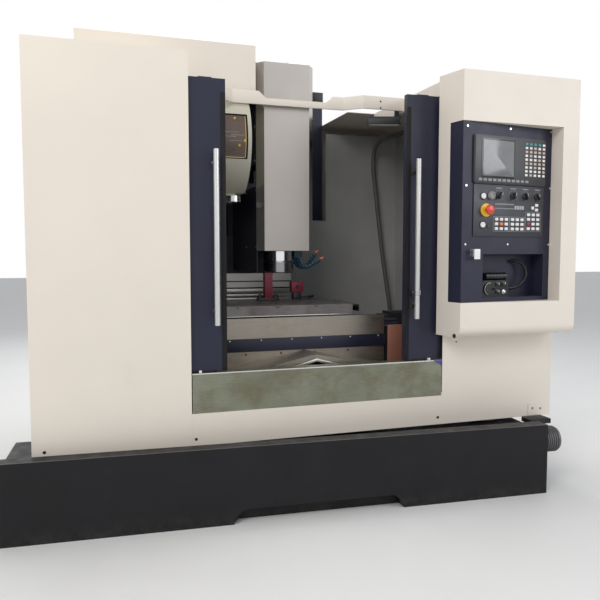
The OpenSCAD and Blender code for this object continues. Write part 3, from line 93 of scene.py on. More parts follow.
def new_material(name):
    """A material with a principled shader, and the object coordinates that its nodes use."""
    made = bpy.data.materials.new(name)
    made.use_nodes = True
    nd, lk = made.node_tree.nodes, made.node_tree.links
    nd.clear()
    out = nd.new("ShaderNodeOutputMaterial")
    b = nd.new("ShaderNodeBsdfPrincipled")
    lk.new(b.outputs["BSDF"], out.inputs["Surface"])
    return made, nd, lk, b, nd.new("ShaderNodeTexCoord").outputs["Object"]


def noise(nd, lk, coords, scale, detail=4.0, rough=0.55):
    """A noise value over the coordinates."""
    n = nd.new("ShaderNodeTexNoise")
    n.inputs["Scale"].default_value = scale
    n.inputs["Detail"].default_value = detail
    n.inputs["Roughness"].default_value = rough
    lk.new(coords, n.inputs["Vector"])
    return n.outputs["Fac"]


def spread(nd, lk, fac, low, high, to_low, to_high):
    """Maps fac from low..high to to_low..to_high, clamped."""
    r = nd.new("ShaderNodeMapRange")
    for key, value in (("From Min", low), ("From Max", high), ("To Min", to_low), ("To Max", to_high)):
        r.inputs[key].default_value = value
    lk.new(fac, r.inputs["Value"])
    return r.outputs["Result"]


def swing(nd, lk, fac, to_low, to_high):
    """Maps the middle range of a noise to to_low..to_high."""
    return spread(nd, lk, fac, NOISE_LOW, NOISE_HIGH, to_low, to_high)


def mix_color(nd, lk, fac, a, b):
    """Mixes two colours, each a tuple or a socket, by a factor socket."""
    m = nd.new("ShaderNodeMix")
    m.data_type = "RGBA"
    lk.new(fac, m.inputs["Factor"])
    for value, socket in ((a, m.inputs[MIX_A]), (b, m.inputs[MIX_B])):
        if isinstance(value, tuple):
            socket.default_value = (*value, 1)
        else:
            lk.new(value, socket)
    return m.outputs[MIX_RESULT]


def calculate(nd, lk, operation, *values):
    """The result of a math operation on numbers and sockets."""
    m = nd.new("ShaderNodeMath")
    m.operation = operation
    for value, socket in zip(values, m.inputs):
        if isinstance(value, (int, float)):
            socket.default_value = value
        else:
            lk.new(value, socket)
    return m.outputs[0]


def height_of(nd, lk, coords):
    """The separate coordinates of a point."""
    split = nd.new("ShaderNodeSeparateXYZ")
    lk.new(coords, split.inputs["Vector"])
    return split.outputs


def stretched(nd, lk, coords, scale):
    """The coordinates scaled along each axis, for brushed lines."""
    m = nd.new("ShaderNodeMapping")
    m.inputs["Scale"].default_value = scale
    lk.new(coords, m.inputs["Vector"])
    return m.outputs["Vector"]


def add_bump(nd, lk, b, height, strength):
    """Raises a shader's surface by a height socket."""
    bump = nd.new("ShaderNodeBump")
    bump.inputs["Strength"].default_value = strength
    bump.inputs["Distance"].default_value = GRAIN_DEPTH
    lk.new(height, bump.inputs["Height"])
    lk.new(bump.outputs["Normal"], b.inputs["Normal"])


def shade(color, k):
    """A colour made darker or brighter by a factor."""
    return tuple(min(1.0, c * k) for c in color)


def surface(name, color, rough=0.5, rough_var=0.08, metal=0.0, vary=0.06, vary_scale=2.5, grain=0.0,
            grain_scale=600.0, stretch=None, coat=0.0, dirt=None, dirt_low=0.55, dirt_high=0.75,
            dirt_scale=3.0, dust=None, spec=None):
    """A procedural surface: colour with soft variation, uneven gloss, grain in the bump, dirt, low dust."""
    made, nd, lk, b, coords = new_material(name)
    b.inputs["Metallic"].default_value = metal
    if spec is not None:
        b.inputs["Specular IOR Level"].default_value = spec
    if coat:
        b.inputs["Coat Weight"].default_value = coat
        b.inputs["Coat Roughness"].default_value = 0.12
    soft = swing(nd, lk, noise(nd, lk, coords, vary_scale, 3.0), 0.0, 1.0)
    tone = mix_color(nd, lk, soft, shade(color, 1 - vary), shade(color, 1 + vary))
    if dirt:
        patch = spread(nd, lk, noise(nd, lk, coords, dirt_scale, 8.0, 0.65), dirt_low, dirt_high, 0.0, 0.55)
        tone = mix_color(nd, lk, patch, tone, dirt)
    if dust:
        dust_color, floor_z, clean_z = dust
        low = spread(nd, lk, height_of(nd, lk, coords)["Z"], floor_z, clean_z, 1.0, 0.0)
        speckle = spread(nd, lk, noise(nd, lk, coords, 18.0, 8.0, 0.7), 0.42, 0.62, 0.0, 0.5)
        tone = mix_color(nd, lk, calculate(nd, lk, "MULTIPLY", low, speckle), tone, dust_color)
    lk.new(tone, b.inputs["Base Color"])
    line = stretched(nd, lk, coords, stretch) if stretch else coords
    gloss = noise(nd, lk, line, grain_scale * 0.25 if stretch else vary_scale * 3, 5.0)
    uneven = swing(nd, lk, gloss, max(0.02, rough - rough_var), min(1.0, rough + rough_var))
    lk.new(uneven, b.inputs["Roughness"])
    if grain:
        add_bump(nd, lk, b, noise(nd, lk, line, grain_scale, 2.0), grain)
    return made


# Paints and sheet metals
CREAM = (0.80, 0.735, 0.65)
NAVY = (0.020, 0.0215, 0.042)
cream = surface("cream_paint", CREAM, rough=0.42, grain=0.25, grain_scale=520, vary=0.02,
                dirt=(0.60, 0.54, 0.44), dirt_low=0.66, dirt_high=0.9, dirt_scale=1.6)
navy = surface("navy_paint", NAVY, rough=0.4, grain=0.3, grain_scale=420, vary=0.12, spec=0.32)
navy_dark = surface("navy_casting", (0.012, 0.013, 0.030), rough=0.4, spec=0.35, grain=0.5,
                    grain_scale=160, vary=0.2)
casting = surface("casting_paint", (0.030, 0.034, 0.055), rough=0.5, grain=0.8, grain_scale=90, vary=0.18)
steel_v = surface("brushed_cover", (0.43, 0.40, 0.375), rough=0.42, rough_var=0.06, metal=0.72, vary=0.05,
                  grain=0.10, grain_scale=240, stretch=(7, 7, 0.12))
steel_x = surface("cover_steel", (0.315, 0.285, 0.245), rough=0.34, rough_var=0.1, metal=0.9, vary=0.07,
                  grain=0.12, grain_scale=240, stretch=(0.12, 7, 7), dirt=(0.19, 0.155, 0.11),
                  dirt_low=0.5, dirt_high=0.72, dirt_scale=5.0)
slat = surface("slat_steel", (0.66, 0.645, 0.61), rough=0.34, rough_var=0.03, metal=0.8, vary=0.04,
               grain=0.04, grain_scale=240, stretch=(0.12, 7, 7))
sill_steel = surface("sill_steel", (0.235, 0.245, 0.185), rough=0.3, rough_var=0.12, metal=0.8, vary=0.18,
                     vary_scale=4.0, grain=0.08, grain_scale=200, stretch=(0.15, 6, 6),
                     dirt=(0.15, 0.125, 0.075), dirt_low=0.47, dirt_high=0.62, dirt_scale=6.0)
ground = surface("ground_steel", (0.56, 0.56, 0.56), rough=0.25, metal=1.0, vary=0.05, grain=0.08,
                 grain_scale=300, stretch=(0.2, 5, 5))
table_iron = surface("table_iron", (0.16, 0.15, 0.145), rough=0.3, rough_var=0.1, metal=0.75, vary=0.15,
                     vary_scale=6.0, grain=0.2, grain_scale=300, stretch=(0.15, 5, 5),
                     dirt=(0.07, 0.055, 0.045), dirt_low=0.5, dirt_high=0.66, dirt_scale=9.0)
chrome = surface("bright_chrome", (0.80, 0.80, 0.81), rough=0.12, rough_var=0.05, metal=1.0, vary=0.02)
handle_alu = surface("handle_aluminium", (0.64, 0.64, 0.63), rough=0.28, metal=0.55, vary=0.03, grain=0.1,
                     grain_scale=300, stretch=(6, 6, 0.1))
grey_sheet = surface("grey_sheet", (0.33, 0.33, 0.325), rough=0.42, grain=0.25, grain_scale=420, vary=0.1,
                     vary_scale=2.0, dirt=(0.19, 0.195, 0.18), dirt_low=0.52, dirt_high=0.8, dirt_scale=2.2)
nose_steel = surface("nose_steel", (0.34, 0.34, 0.35), rough=0.22, metal=1.0, vary=0.06, grain=0.08,
                     grain_scale=300, stretch=(0.2, 0.2, 6))
brass = surface("brass", (0.60, 0.42, 0.16), rough=0.3, metal=1.0, vary=0.06)
motor_black = surface("motor_enamel", (0.022, 0.022, 0.024), rough=0.38, grain=0.5, grain_scale=260, vary=0.15)
auger_grey = surface("auger_enamel", (0.10, 0.095, 0.10), rough=0.4, grain=0.5, grain_scale=260, vary=0.15)
tank_black = surface("tank_paint", (0.0095, 0.0095, 0.0115), rough=0.42, spec=0.25, rough_var=0.1,
                     grain=0.5, grain_scale=200, vary=0.15, vary_scale=6.0,
                     dust=((0.045, 0.04, 0.034), 0.0, 0.08))
red_paint = surface("red_paint", (0.235, 0.017, 0.042), rough=0.42, grain=0.4, grain_scale=250, vary=0.12)
drum_paint = surface("drum_paint", (0.50, 0.48, 0.39), rough=0.42, grain=0.3, grain_scale=420, vary=0.05)
brown_sheet = surface("brown_sheet", (0.30, 0.125, 0.085), rough=0.45, grain=0.3, grain_scale=400, vary=0.06)
lining_brown = surface("lining_brown", (0.105, 0.07, 0.055), rough=0.3, vary=0.2, vary_scale=14.0)

# Plastics, rubber and films
black = surface("black_plastic", (0.018, 0.018, 0.02), rough=0.42, grain=0.3, grain_scale=900, vary=0.15)
gloss_black = surface("gloss_black", (0.012, 0.012, 0.014), rough=0.16, vary=0.1, coat=0.3)
rubber = surface("black_rubber", (0.012, 0.012, 0.013), rough=0.62, spec=0.2, grain=0.35, grain_scale=700,
                 vary=0.15)
hose_grey = surface("grey_hose", (0.085, 0.083, 0.082), rough=0.45, grain=0.3, grain_scale=300, vary=0.15)
red_gloss = surface("red_plastic", (0.72, 0.055, 0.035), rough=0.25, vary=0.05, coat=0.3)
yellow = surface("yellow_plastic", (0.80, 0.50, 0.03), rough=0.32, vary=0.05)
white = surface("white_plastic", (0.80, 0.80, 0.78), rough=0.35, vary=0.03)
orange = surface("orange_plastic", (0.80, 0.20, 0.05), rough=0.35, vary=0.05)
teal = surface("teal_plastic", (0.05, 0.28, 0.30), rough=0.4, vary=0.06)
pink = surface("warm_plastic", (0.62, 0.45, 0.40), rough=0.42, vary=0.06)
crimson = surface("crimson_plastic", (0.42, 0.02, 0.05), rough=0.4, vary=0.05)
plug_grey = surface("grey_plastic", (0.27, 0.28, 0.27), rough=0.5, grain=0.5, grain_scale=300, vary=0.1)
bezel_dark = surface("bezel", (0.035, 0.036, 0.042), rough=0.35, vary=0.1)
screen_grey = surface("screen", (0.17, 0.17, 0.18), rough=0.12, vary=0.12, vary_scale=8.0, coat=0.6)
keypad_dark = surface("keypad_film", (0.025, 0.026, 0.036), rough=0.42, grain=0.2, grain_scale=900, vary=0.08)
mark_grey = surface("print_grey", (0.42, 0.42, 0.44), rough=0.5, vary=0.05)
blue_joint = surface("blue_segments", (0.015, 0.075, 0.125), rough=0.38, vary=0.15)
blue_film = surface("blue_film", (0.045, 0.055, 0.26), rough=0.3, vary=0.1, coat=0.3)
pot_brown = surface("pot_plastic", (0.24, 0.16, 0.10), rough=0.4, vary=0.25, vary_scale=20.0)


def parted(name, depth):
    """Polished steel in front of a depth, dark paint behind it."""
    made, nd, lk, b, coords = new_material(name)
    steel = calculate(nd, lk, "LESS_THAN", height_of(nd, lk, coords)["Y"], depth)
    soft = swing(nd, lk, noise(nd, lk, coords, 3.0, 3.0), 0.0, 1.0)
    bright = mix_color(nd, lk, soft, (0.46, 0.44, 0.42), (0.52, 0.50, 0.48))
    dark = mix_color(nd, lk, soft, (0.012, 0.013, 0.030), (0.018, 0.019, 0.040))
    lk.new(mix_color(nd, lk, steel, dark, bright), b.inputs["Base Color"])
    lk.new(steel, b.inputs["Metallic"])
    lines = noise(nd, lk, stretched(nd, lk, coords, (7, 7, 0.12)), 60.0, 5.0)
    satin = swing(nd, lk, lines, 0.36, 0.44)
    lk.new(calculate(nd, lk, "MULTIPLY_ADD", steel, -0.22, satin), b.inputs["Roughness"])
    add_bump(nd, lk, b, noise(nd, lk, coords, 240.0, 2.0), 0.12)
    return made


STEEL_DEPTH = 647
head_wrap = parted("head_wrap", at(0, STEEL_DEPTH, 0).y)


def clear_sheet():
    """The windows' clear plastic, a little scuffed."""
    made, nd, lk, b, coords = new_material("clear_polycarbonate")
    b.inputs["Base Color"].default_value = (0.72, 0.78, 0.78, 1)
    b.inputs["Transmission Weight"].default_value = 0.9
    b.inputs["IOR"].default_value = 1.45
    lk.new(swing(nd, lk, noise(nd, lk, coords, 12.0), 0.06, 0.16), b.inputs["Roughness"])
    return made


glass = clear_sheet()

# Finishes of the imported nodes
finishes = {
    cream: ("left_panel", "front_skirt", "left_housing", "right_housing", "roof_rim", "operator_cabinet",
            "ecab_body", "ecab_door"),
    head_wrap: ("head_side_covers",),
    navy: ("door_left", "door_right", "operator_panel"),
    navy_dark: ("column_casting", "head_casting"),
    casting: ("base_casting", "saddle"),
    steel_v: ("head_cover",),
    steel_x: ("saddle_cover", "y_cover_front", "y_cover_rear"),
    slat: ("z_cover_high", "z_cover_low"),
    sill_steel: ("sill_plate",),
    ground: ("guide_rails", "x_screw", "y_screw", "z_screw", "changer_arm"),
    table_iron: ("table",),
    chrome: ("panel_trim", "spindle"),
    gloss_black: ("pendant_body", "pendant_wheel"),
    handle_alu: ("handle_left", "handle_right"),
    grey_sheet: ("inner_walls",),
    motor_black: ("x_motor", "axis_motors", "spindle_motor", "leveling_feet"),
    auger_grey: ("tank_motors",),
    tank_black: ("tank",),
    red_paint: ("transport_blocks",),
    blue_joint: ("coolant_nozzles",),
    drum_paint: ("magazine_housing",),
    pot_brown: ("tool_disc",),
    red_gloss: ("main_switch", "estop_button"),
    white: ("start_button", "stop_button"),
    black: ("selector_1", "selector_2", "selector_3", "selector_4"),
    glass: ("window_left", "window_right"),
}
for finish, names in finishes.items():
    for name in names:
        nodes[name].data.materials.clear()
        nodes[name].data.materials.append(finish)

# Mesh helpers
SPLIT_ANGLE = math.radians(35)
POINT_R = 1e-6


def keep(bm, name, materials, body, bevel=0.0, smooth=True):
    """Turns a bmesh into a piece that rides on a body and takes its finish from a slot."""
    mesh = bpy.data.meshes.new(name)
    bmesh.ops.recalc_face_normals(bm, faces=bm.faces)
    bm.to_mesh(mesh)
    bm.free()
    for m in materials if isinstance(materials, (list, tuple)) else [materials]:
        mesh.materials.append(m)
    piece = bpy.data.objects.new(name, mesh)
    bpy.context.collection.objects.link(piece)
    if bevel:
        mod = piece.modifiers.new("bevel", "BEVEL")
        mod.width = bevel
        mod.segments = 2
        mod.limit_method = "ANGLE"
    if smooth:
        for p in mesh.polygons:
            p.use_smooth = True
        edge = piece.modifiers.new("edges", "EDGE_SPLIT")
        edge.split_angle = SPLIT_ANGLE
    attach(piece, body)
    return piece


def add_box(bm, low, high, place=at, index=0):
    """A box between two corners given in millimetres in the place's own axes."""
    corners = [place(x, y, z) for x in (low[0], high[0]) for y in (low[1], high[1]) for z in (low[2], high[2])]
    v = [bm.verts.new(c) for c in corners]
    for q in ((0, 1, 3, 2), (4, 6, 7, 5), (0, 4, 5, 1), (2, 3, 7, 6), (0, 2, 6, 4), (1, 5, 7, 3)):
        f = bm.faces.new([v[i] for i in q])
        f.material_index = index


def add_lathe(bm, profile, base, axis, sides=32, index=0):
    """Revolves (radius, height) points in millimetres about an axis through base; height runs along axis."""
    axis = axis.normalized()
    side = axis.orthogonal().normalized()
    other = axis.cross(side)
    rings = []
    for r, h in profile:
        centre = base + axis * h / MM_PER_M
        if r < POINT_R:
            rings.append([bm.verts.new(centre)])
            continue
        ring = []
        for k in range(sides):
            a = 2 * math.pi * k / sides
            ring.append(bm.verts.new(centre + (side * math.cos(a) + other * math.sin(a)) * r / MM_PER_M))
        rings.append(ring)
    for a, b in zip(rings, rings[1:]):
        for k in range(sides):
            n = (k + 1) % sides
            if len(a) == 1 and len(b) == 1:
                continue
            if len(a) == 1:
                f = bm.faces.new((a[0], b[k], b[n]))
            elif len(b) == 1:
                f = bm.faces.new((a[k], b[0], a[n]))
            else:
                f = bm.faces.new((a[k], b[k], b[n], a[n]))
            f.material_index = index


def rounded(w, h, r, steps=6):
    """Corner points of a rounded rectangle from the origin to (w, h)."""
    points = []
    for cx, cy, start in ((w - r, h - r, 0), (r, h - r, 90), (r, r, 180), (w - r, r, 270)):
        for k in range(steps + 1):
            a = math.radians(start + 90 * k / steps)
            points.append((cx + r * math.cos(a), cy + r * math.sin(a)))
    return points


def add_plate(bm, outline, depths, place, index=0):
    """Extrudes an outline of (u, z) between two depths w."""
    rings = [[bm.verts.new(place(u, w, z)) for u, z in outline] for w in depths]
    n = len(outline)
    for k in range(n):
        f = bm.faces.new((rings[0][k], rings[0][(k + 1) % n], rings[1][(k + 1) % n], rings[1][k]))
        f.material_index = index
    for ring in rings:
        f = bm.faces.new(ring)
        f.material_index = index


def add_card(bm, spot, size, r, depths, index=0, steps=6):
    """A rounded plate on the operator panel, its lower left corner at a spot (u, z)."""
    outline = [(spot[0] + a, spot[1] + b) for a, b in rounded(*size, r, steps)]
    add_plate(bm, outline, depths, on_panel, index)


def add_tube(bm, rows, index=0):
    """Joins rows of four points to a closed square tube."""
    for a, b in zip(rows, rows[1:]):
        for k in range(4):
            f = bm.faces.new((a[k], a[(k + 1) % 4], b[(k + 1) % 4], b[k]))
            f.material_index = index
    for row in (rows[0], rows[-1]):
        bm.faces.new(row).material_index = index


def boxes(name, parts, materials, body, place=at, bevel=0.001):
    """One piece from boxes, each given by its corners and the number of its material."""
    bm = bmesh.new()
    for low, high, *index in parts:
        add_box(bm, low, high, place, *index)
    return keep(bm, name, materials, body, bevel=bevel)


def lathes(name, parts, materials, body):
    """One piece from turned forms, each a profile with its base, axis, sides and material's number."""
    bm = bmesh.new()
    for part in parts:
        add_lathe(bm, *part)
    return keep(bm, name, materials, body)


def studs(name, spots, direction, radius, height, material, body):
    """Button-head screws with a socket, all facing one way."""
    r, h = radius, height
    profile = [(0, 0), (r, 0), (r, 0.55 * h), (0.75 * r, h), (0.45 * r, h), (0.4 * r, 0.4 * h), (0, 0.4 * h)]
    return lathes(name, [(profile, at(*spot), direction, 18) for spot in spots], material, body)


def row(x, pitch, count, y, z):
    """Places along X, one pitch apart."""
    return [(x + pitch * k, y, z) for k in range(count)]


# Free cords: the work area hose and the pendant's curly cord
def smooth_route(points):
    """The route with one point added in the middle of each stretch, on a Catmull-Rom curve."""
    out = []
    last = len(points) - 1
    for i in range(last):
        a, b = points[max(i - 1, 0)], points[i]
        c, d = points[i + 1], points[min(i + 2, last)]
        out.append(b)
        out.append((b + c) * 0.5625 - (a + d) * 0.0625)
    out.append(points[last])
    return out


def tube_curve(name, points, radius, material, body, resolution):
    """A round curve through the points that rides on a body."""
    curve = bpy.data.curves.new(name, "CURVE")
    curve.dimensions = "3D"
    curve.bevel_depth = radius
    curve.bevel_resolution = resolution
    curve.use_fill_caps = True
    spline = curve.splines.new("POLY")
    spline.points.add(len(points) - 1)
    for p, co in zip(spline.points, points):
        p.co = (*co, 1)
    spline.use_smooth = True
    curve.materials.append(material)
    piece = bpy.data.objects.new(name, curve)
    bpy.context.collection.objects.link(piece)
    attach(piece, body)
    return piece


def length_of(points):
    """The length of a line through the points."""
    return sum((b - a).length for a, b in zip(points, points[1:]))


HOSE_ROUTE = [(800, 735.3, 1925), (800, 765, 1925), (800, 830, 1922), (800, 900, 1923), (800, 970, 1927),
              (800, 1040, 1931), (800, 1090, 1932), (800, 1130, 1926), (800, 1170, 1908), (801, 1204, 1874),
              (803, 1226, 1826), (806, 1234, 1770), (814, 1234, 1690), (828, 1234, 1580), (842, 1233, 1460),
              (857, 1232, 1340), (872, 1230, 1220), (887, 1227, 1110), (903, 1223, 1000), (918, 1218, 900),
              (930, 1213, 810), (938, 1208, 730), (942, 1205, 670), (942, 1205, 640.3)]
HOSE_R = 0.0138
hose_points = smooth_route([at(*p) for p in HOSE_ROUTE])
hose = tube_curve("work_area_hose", hose_points, HOSE_R, hose_grey, "machine", 6)
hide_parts("work_hose")

CURL_ROUTE = [(316.3, 40, 1012), (350, 40, 1012), (392, 38, 1020), (430, 36, 1046), (448, 36, 1084),
              (440, 42, 1122), (416, 50, 1143), (392, 57, 1150), (379, 67, 1151), (377, 79.7, 1151)]
CURL_R = 0.0069
WIRE_R = 0.0016
CURL_PITCH = 0.0043
LEAD_TURNS = 3


def curl(points, steps=14):
    """A helix about a route that starts and ends on the route itself."""
    line = smooth_route(smooth_route(points))
    dense = smooth_route(smooth_route(line))
    total = length_of(dense)
    turns = round(total / CURL_PITCH)
    count = turns * steps
    out = []
    walked, i = 0.0, 0
    u = None
    a = 0.0
    for k in range(count + 1):
        want = total * k / count
        while i < len(dense) - 2 and walked + (dense[i + 1] - dense[i]).length < want:
            walked += (dense[i + 1] - dense[i]).length
            i += 1
        step = dense[i + 1] - dense[i]
        t = (want - walked) / step.length
        direction = step.normalized()
        u = u - direction * u.dot(direction) if u else direction.orthogonal()
        u.normalize()
        v = direction.cross(u)
        ends = min(1.0, k / (LEAD_TURNS * steps), (count - k) / (LEAD_TURNS * steps))
        a += 2 * math.pi * ends ** 2 / steps
        out.append(dense[i] + step * t + (u * math.cos(a) + v * math.sin(a)) * CURL_R * ends)
    return out


curl_points = curl([on_panel(*p) for p in CURL_ROUTE])
curly = tube_curve("curly_cord", curl_points, WIRE_R, gloss_black, "machine", 2)
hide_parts("pendant_cord")

# Display unit: a stepped bezel, the screen, data keys and softkeys
DISPLAY_U, DISPLAY_Z, DISPLAY_W, DISPLAY_H, DISPLAY_T = 59, 1521, 459, 233, 12
BEZEL_RIM = 4
SCREEN_U, SCREEN_Z, SCREEN_W, SCREEN_H, SCREEN_RIM = 111, 1560, 192, 170, 9
DATA_U, DATA_Z, DATA_COLUMNS, DATA_ROWS = DISPLAY_U + 327, DISPLAY_Z + 53, 5, 9
DATA_PITCH_U, DATA_PITCH_Z, DATA_HALF_W, DATA_HALF_H = 28.5, 19, 8, 5.6
SOFT_U, SOFT_Z, SOFT_KEYS, SOFT_PITCH, SOFT_HALF_W, SOFT_H = DISPLAY_U + 37, DISPLAY_Z + 14, 11, 29.5, 10, 12
DISPLAY_KEY_T = 2


def display_bezel():
    """The bezel, which stands for the whole unit."""
    bm = bmesh.new()
    add_card(bm, (DISPLAY_U, DISPLAY_Z), (DISPLAY_W, DISPLAY_H), 14, (0, -DISPLAY_T + 3))
    face = (DISPLAY_W - 2 * BEZEL_RIM, DISPLAY_H - 2 * BEZEL_RIM)
    add_card(bm, (DISPLAY_U + BEZEL_RIM, DISPLAY_Z + BEZEL_RIM), face, 11, (-DISPLAY_T + 2.9, -DISPLAY_T))
    bezel = keep(bm, "display_bezel", bezel_dark, "machine", bevel=0.0012)
    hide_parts("display_unit")


def display_screen():
    """The screen in its raised frame."""
    bm = bmesh.new()
    size = (SCREEN_W + 2 * SCREEN_RIM, SCREEN_H + 2 * SCREEN_RIM)
    add_card(bm, (SCREEN_U - SCREEN_RIM, SCREEN_Z - SCREEN_RIM), size, 8, (-DISPLAY_T, -DISPLAY_T - 1))
    keep(bm, "screen_frame", gloss_black, "machine", bevel=0.0004)
    bm = bmesh.new()
    add_card(bm, (SCREEN_U, SCREEN_Z), (SCREEN_W, SCREEN_H), 5, (-DISPLAY_T - 1, -DISPLAY_T - 1.6))
    keep(bm, "screen_glass", screen_grey, "machine", bevel=0.0002)


def data_key_tone(column, line):
    """Teal keys in the top line, then white ones with some warm ones among them."""
    if line == DATA_ROWS - 1 and column < DATA_COLUMNS - 1:
        return 0
    return 2 if (column + 2 * line) % 5 == 1 or line in (3, 6) else 1


def display_keys():
    """The block of data keys and the line of softkeys."""
    bm = bmesh.new()
    for i in range(DATA_COLUMNS):
        for j in range(DATA_ROWS):
            cu, cz = DATA_U + i * DATA_PITCH_U, DATA_Z + j * DATA_PITCH_Z
            add_box(bm, (cu - DATA_HALF_W, -DISPLAY_T - DISPLAY_KEY_T, cz - DATA_HALF_H),
                    (cu + DATA_HALF_W, -DISPLAY_T, cz + DATA_HALF_H), on_panel, data_key_tone(i, j))
    keep(bm, "data_keys", [teal, white, pink], "machine", bevel=0.0008)
    bm = bmesh.new()
    for i in range(SOFT_KEYS):
        cu = SOFT_U + i * SOFT_PITCH
        add_box(bm, (cu - SOFT_HALF_W, -DISPLAY_T - DISPLAY_KEY_T, SOFT_Z),
                (cu + SOFT_HALF_W, -DISPLAY_T, SOFT_Z + SOFT_H), on_panel)
    keep(bm, "soft_keys", plug_grey, "machine", bevel=0.0008)


display_bezel()
display_screen()
display_keys()

# Keypad plate with its keys, plain printed fields, plug, collar and rings
KEYPAD_U, KEYPAD_Z, KEYPAD_W, KEYPAD_H, KEYPAD_T = 64, 1269, 449, 250, 5
START, STOP, ESTOP = (121, 1463), (119, 1325), (140, 1396)
PLUG, RELEASE, SMALL_RING = (170, 1467), (439, 1414), (159, 1320)
SELECTORS = [(220, 1469), (311, 1469), (391, 1469), (470, 1469)]
KEY_W, KEY_H, KEY_P, KEY_ROW = 20, 14, 31, 23
KEY_BLOCKS = (((207, 1308), 3, 3), ((309, 1308), 3, 3), ((414, 1311), 3, 4), ((466, 1405), 1, 2))
KEY_TONES = {(0, 1, 1): 1, (2, 0, 1): 2}
FIELDS = ((188, 1295, 101, 72), (290, 1295, 101, 72), (395, 1298, 101, 96))
PRINT_T = 0.3


def keypad_plate():
    """The plate, which stands for the whole keypad."""
    bm = bmesh.new()
    add_card(bm, (KEYPAD_U, KEYPAD_Z), (KEYPAD_W, KEYPAD_H), 5, (0, -KEYPAD_T))
    plate = keep(bm, "keypad_plate", keypad_dark, "machine", bevel=0.001)
    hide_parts("keypad_panel")


def add_key(bm, u, z, index):
    """A key: a rounded foot with a smaller cap on it."""
    u, z = u - KEY_W / 2, z - KEY_H / 2
    add_card(bm, (u, z), (KEY_W, KEY_H), 2.5, (-KEYPAD_T, -KEYPAD_T - 3), index, 3)
    add_card(bm, (u + 2, z + 1.5), (KEY_W - 4, KEY_H - 3), 2, (-KEYPAD_T - 2.9, -KEYPAD_T - 4), index, 3)


def keypad_keys():
    """The blocks of keys, with an orange and a crimson one."""
    bm = bmesh.new()
    for n, ((u, z), columns, lines) in enumerate(KEY_BLOCKS):
        for i in range(columns):
            for j in range(lines):
                add_key(bm, u + i * KEY_P, z + j * KEY_ROW, KEY_TONES.get((n, i, j), 0))
    keep(bm, "panel_keys", [white, orange, crimson], "machine", bevel=0.0005)


def add_mark(bm, u, z, w, h, thick=PRINT_T):
    """A printed rectangle on the keypad plate, its lower left corner at (u, z)."""
    add_box(bm, (u, -KEYPAD_T - thick, z), (u + w, -KEYPAD_T, z + h), on_panel)


def keypad_print():
    """Frames round the key blocks, two lines of marks, four switches and the selectors' scales."""
    bm = bmesh.new()
    for u, z, w, h in FIELDS:
        add_mark(bm, u, z, w, 1)
        add_mark(bm, u, z + h - 1, w, 1)
        add_mark(bm, u, z, 1, h)
        add_mark(bm, u + w - 1, z, 1, h)
    for z, h in ((1424, 7), (1404, 5)):
        for k in range(9):
            add_mark(bm, 200 + k * 13.5, z, 6, h)
    for k in range(4):
        add_mark(bm, 322 + k * 16, 1404, 12, 18, 0.5)
    for u, z in SELECTORS:
        for k in range(9):
            a = math.radians(-120 + 30 * k)
            cu, cz = u + 27 * math.sin(a), z + 27 * math.cos(a)
            add_box(bm, (cu - 1.4, -KEYPAD_T - PRINT_T, cz - 1.4), (cu + 1.4, -KEYPAD_T, cz + 1.4), on_panel)
        add_mark(bm, u - 18, z + 34, 36, 3)
    keep(bm, "panel_print", mark_grey, "machine", smooth=False)


def on_keypad(spot):
    """A spot (u, z) on the keypad plate's front."""
    return on_panel(spot[0], -KEYPAD_T, spot[1])


def keypad_fittings():
    """The emergency stop's collar, the data socket's cap, a small button and the buttons' rings."""
    collar = [(9.5, 0), (32, 0), (32, 4), (29, 6), (9.5, 6)]
    lathes("estop_collar", [(collar, on_keypad(ESTOP), PANEL_OUT, 40)], yellow, "machine")
    cap = [(0, 0), (19, 0), (19, 7), (16.5, 9), (16.5, 15), (13, 16), (12.5, 12), (0, 12)]
    lathes("data_socket_cap", [(cap, on_keypad(PLUG), PANEL_OUT, 36)], plug_grey, "machine")
    button = [(0, 0), (9, 0), (9, 3), (7.5, 4), (7.5, 5.5), (6.5, 6), (0, 6)]
    lathes("release_button", [(button, on_keypad(RELEASE), PANEL_OUT, 28)], white, "machine")
    rings = []
    for spot, inner, r in ((START, 14.5, 15), (STOP, 14.5, 15), (SMALL_RING, 0, 9)):
        profile = [(inner, 0), (r + 3.5, 0), (r + 3.5, 2), (r + 1.5, 3.5), (inner, 3.5)]
        rings.append((profile, on_keypad(spot), PANEL_OUT, 36))
    lathes("button_rings", rings, black, "machine")


keypad_plate()
keypad_keys()
keypad_print()
keypad_fittings()

# Pieces that stand for the buttons and selectors, each on its own body
CAP = [(0, 4), (13.6, 4), (13.6, 12), (12.6, 13.5), (9, 13.9), (8, 13.2), (0, 13.1)]
MUSHROOM = [(0, 11.5), (8.9, 11.5), (8.9, 28), (15, 28.5), (22, 30), (23.9, 33), (23.9, 38), (22.5, 41),
            (19, 43.5), (12, 45.6), (0, 46.8)]
KNOB_BASE = [(0, 2), (4, 2), (4, 5.3), (16.9, 5.3), (16.9, 8), (14.5, 10.5), (14.5, 13), (0, 13)]


def button(name, node, profile, spot, material, body, slot):
    """A turned button that replaces its node."""
    part = (profile, on_panel(spot[0], 0, spot[1]), PANEL_OUT, 36)
    piece = lathes(name, [part], material, body)
    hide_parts(node)


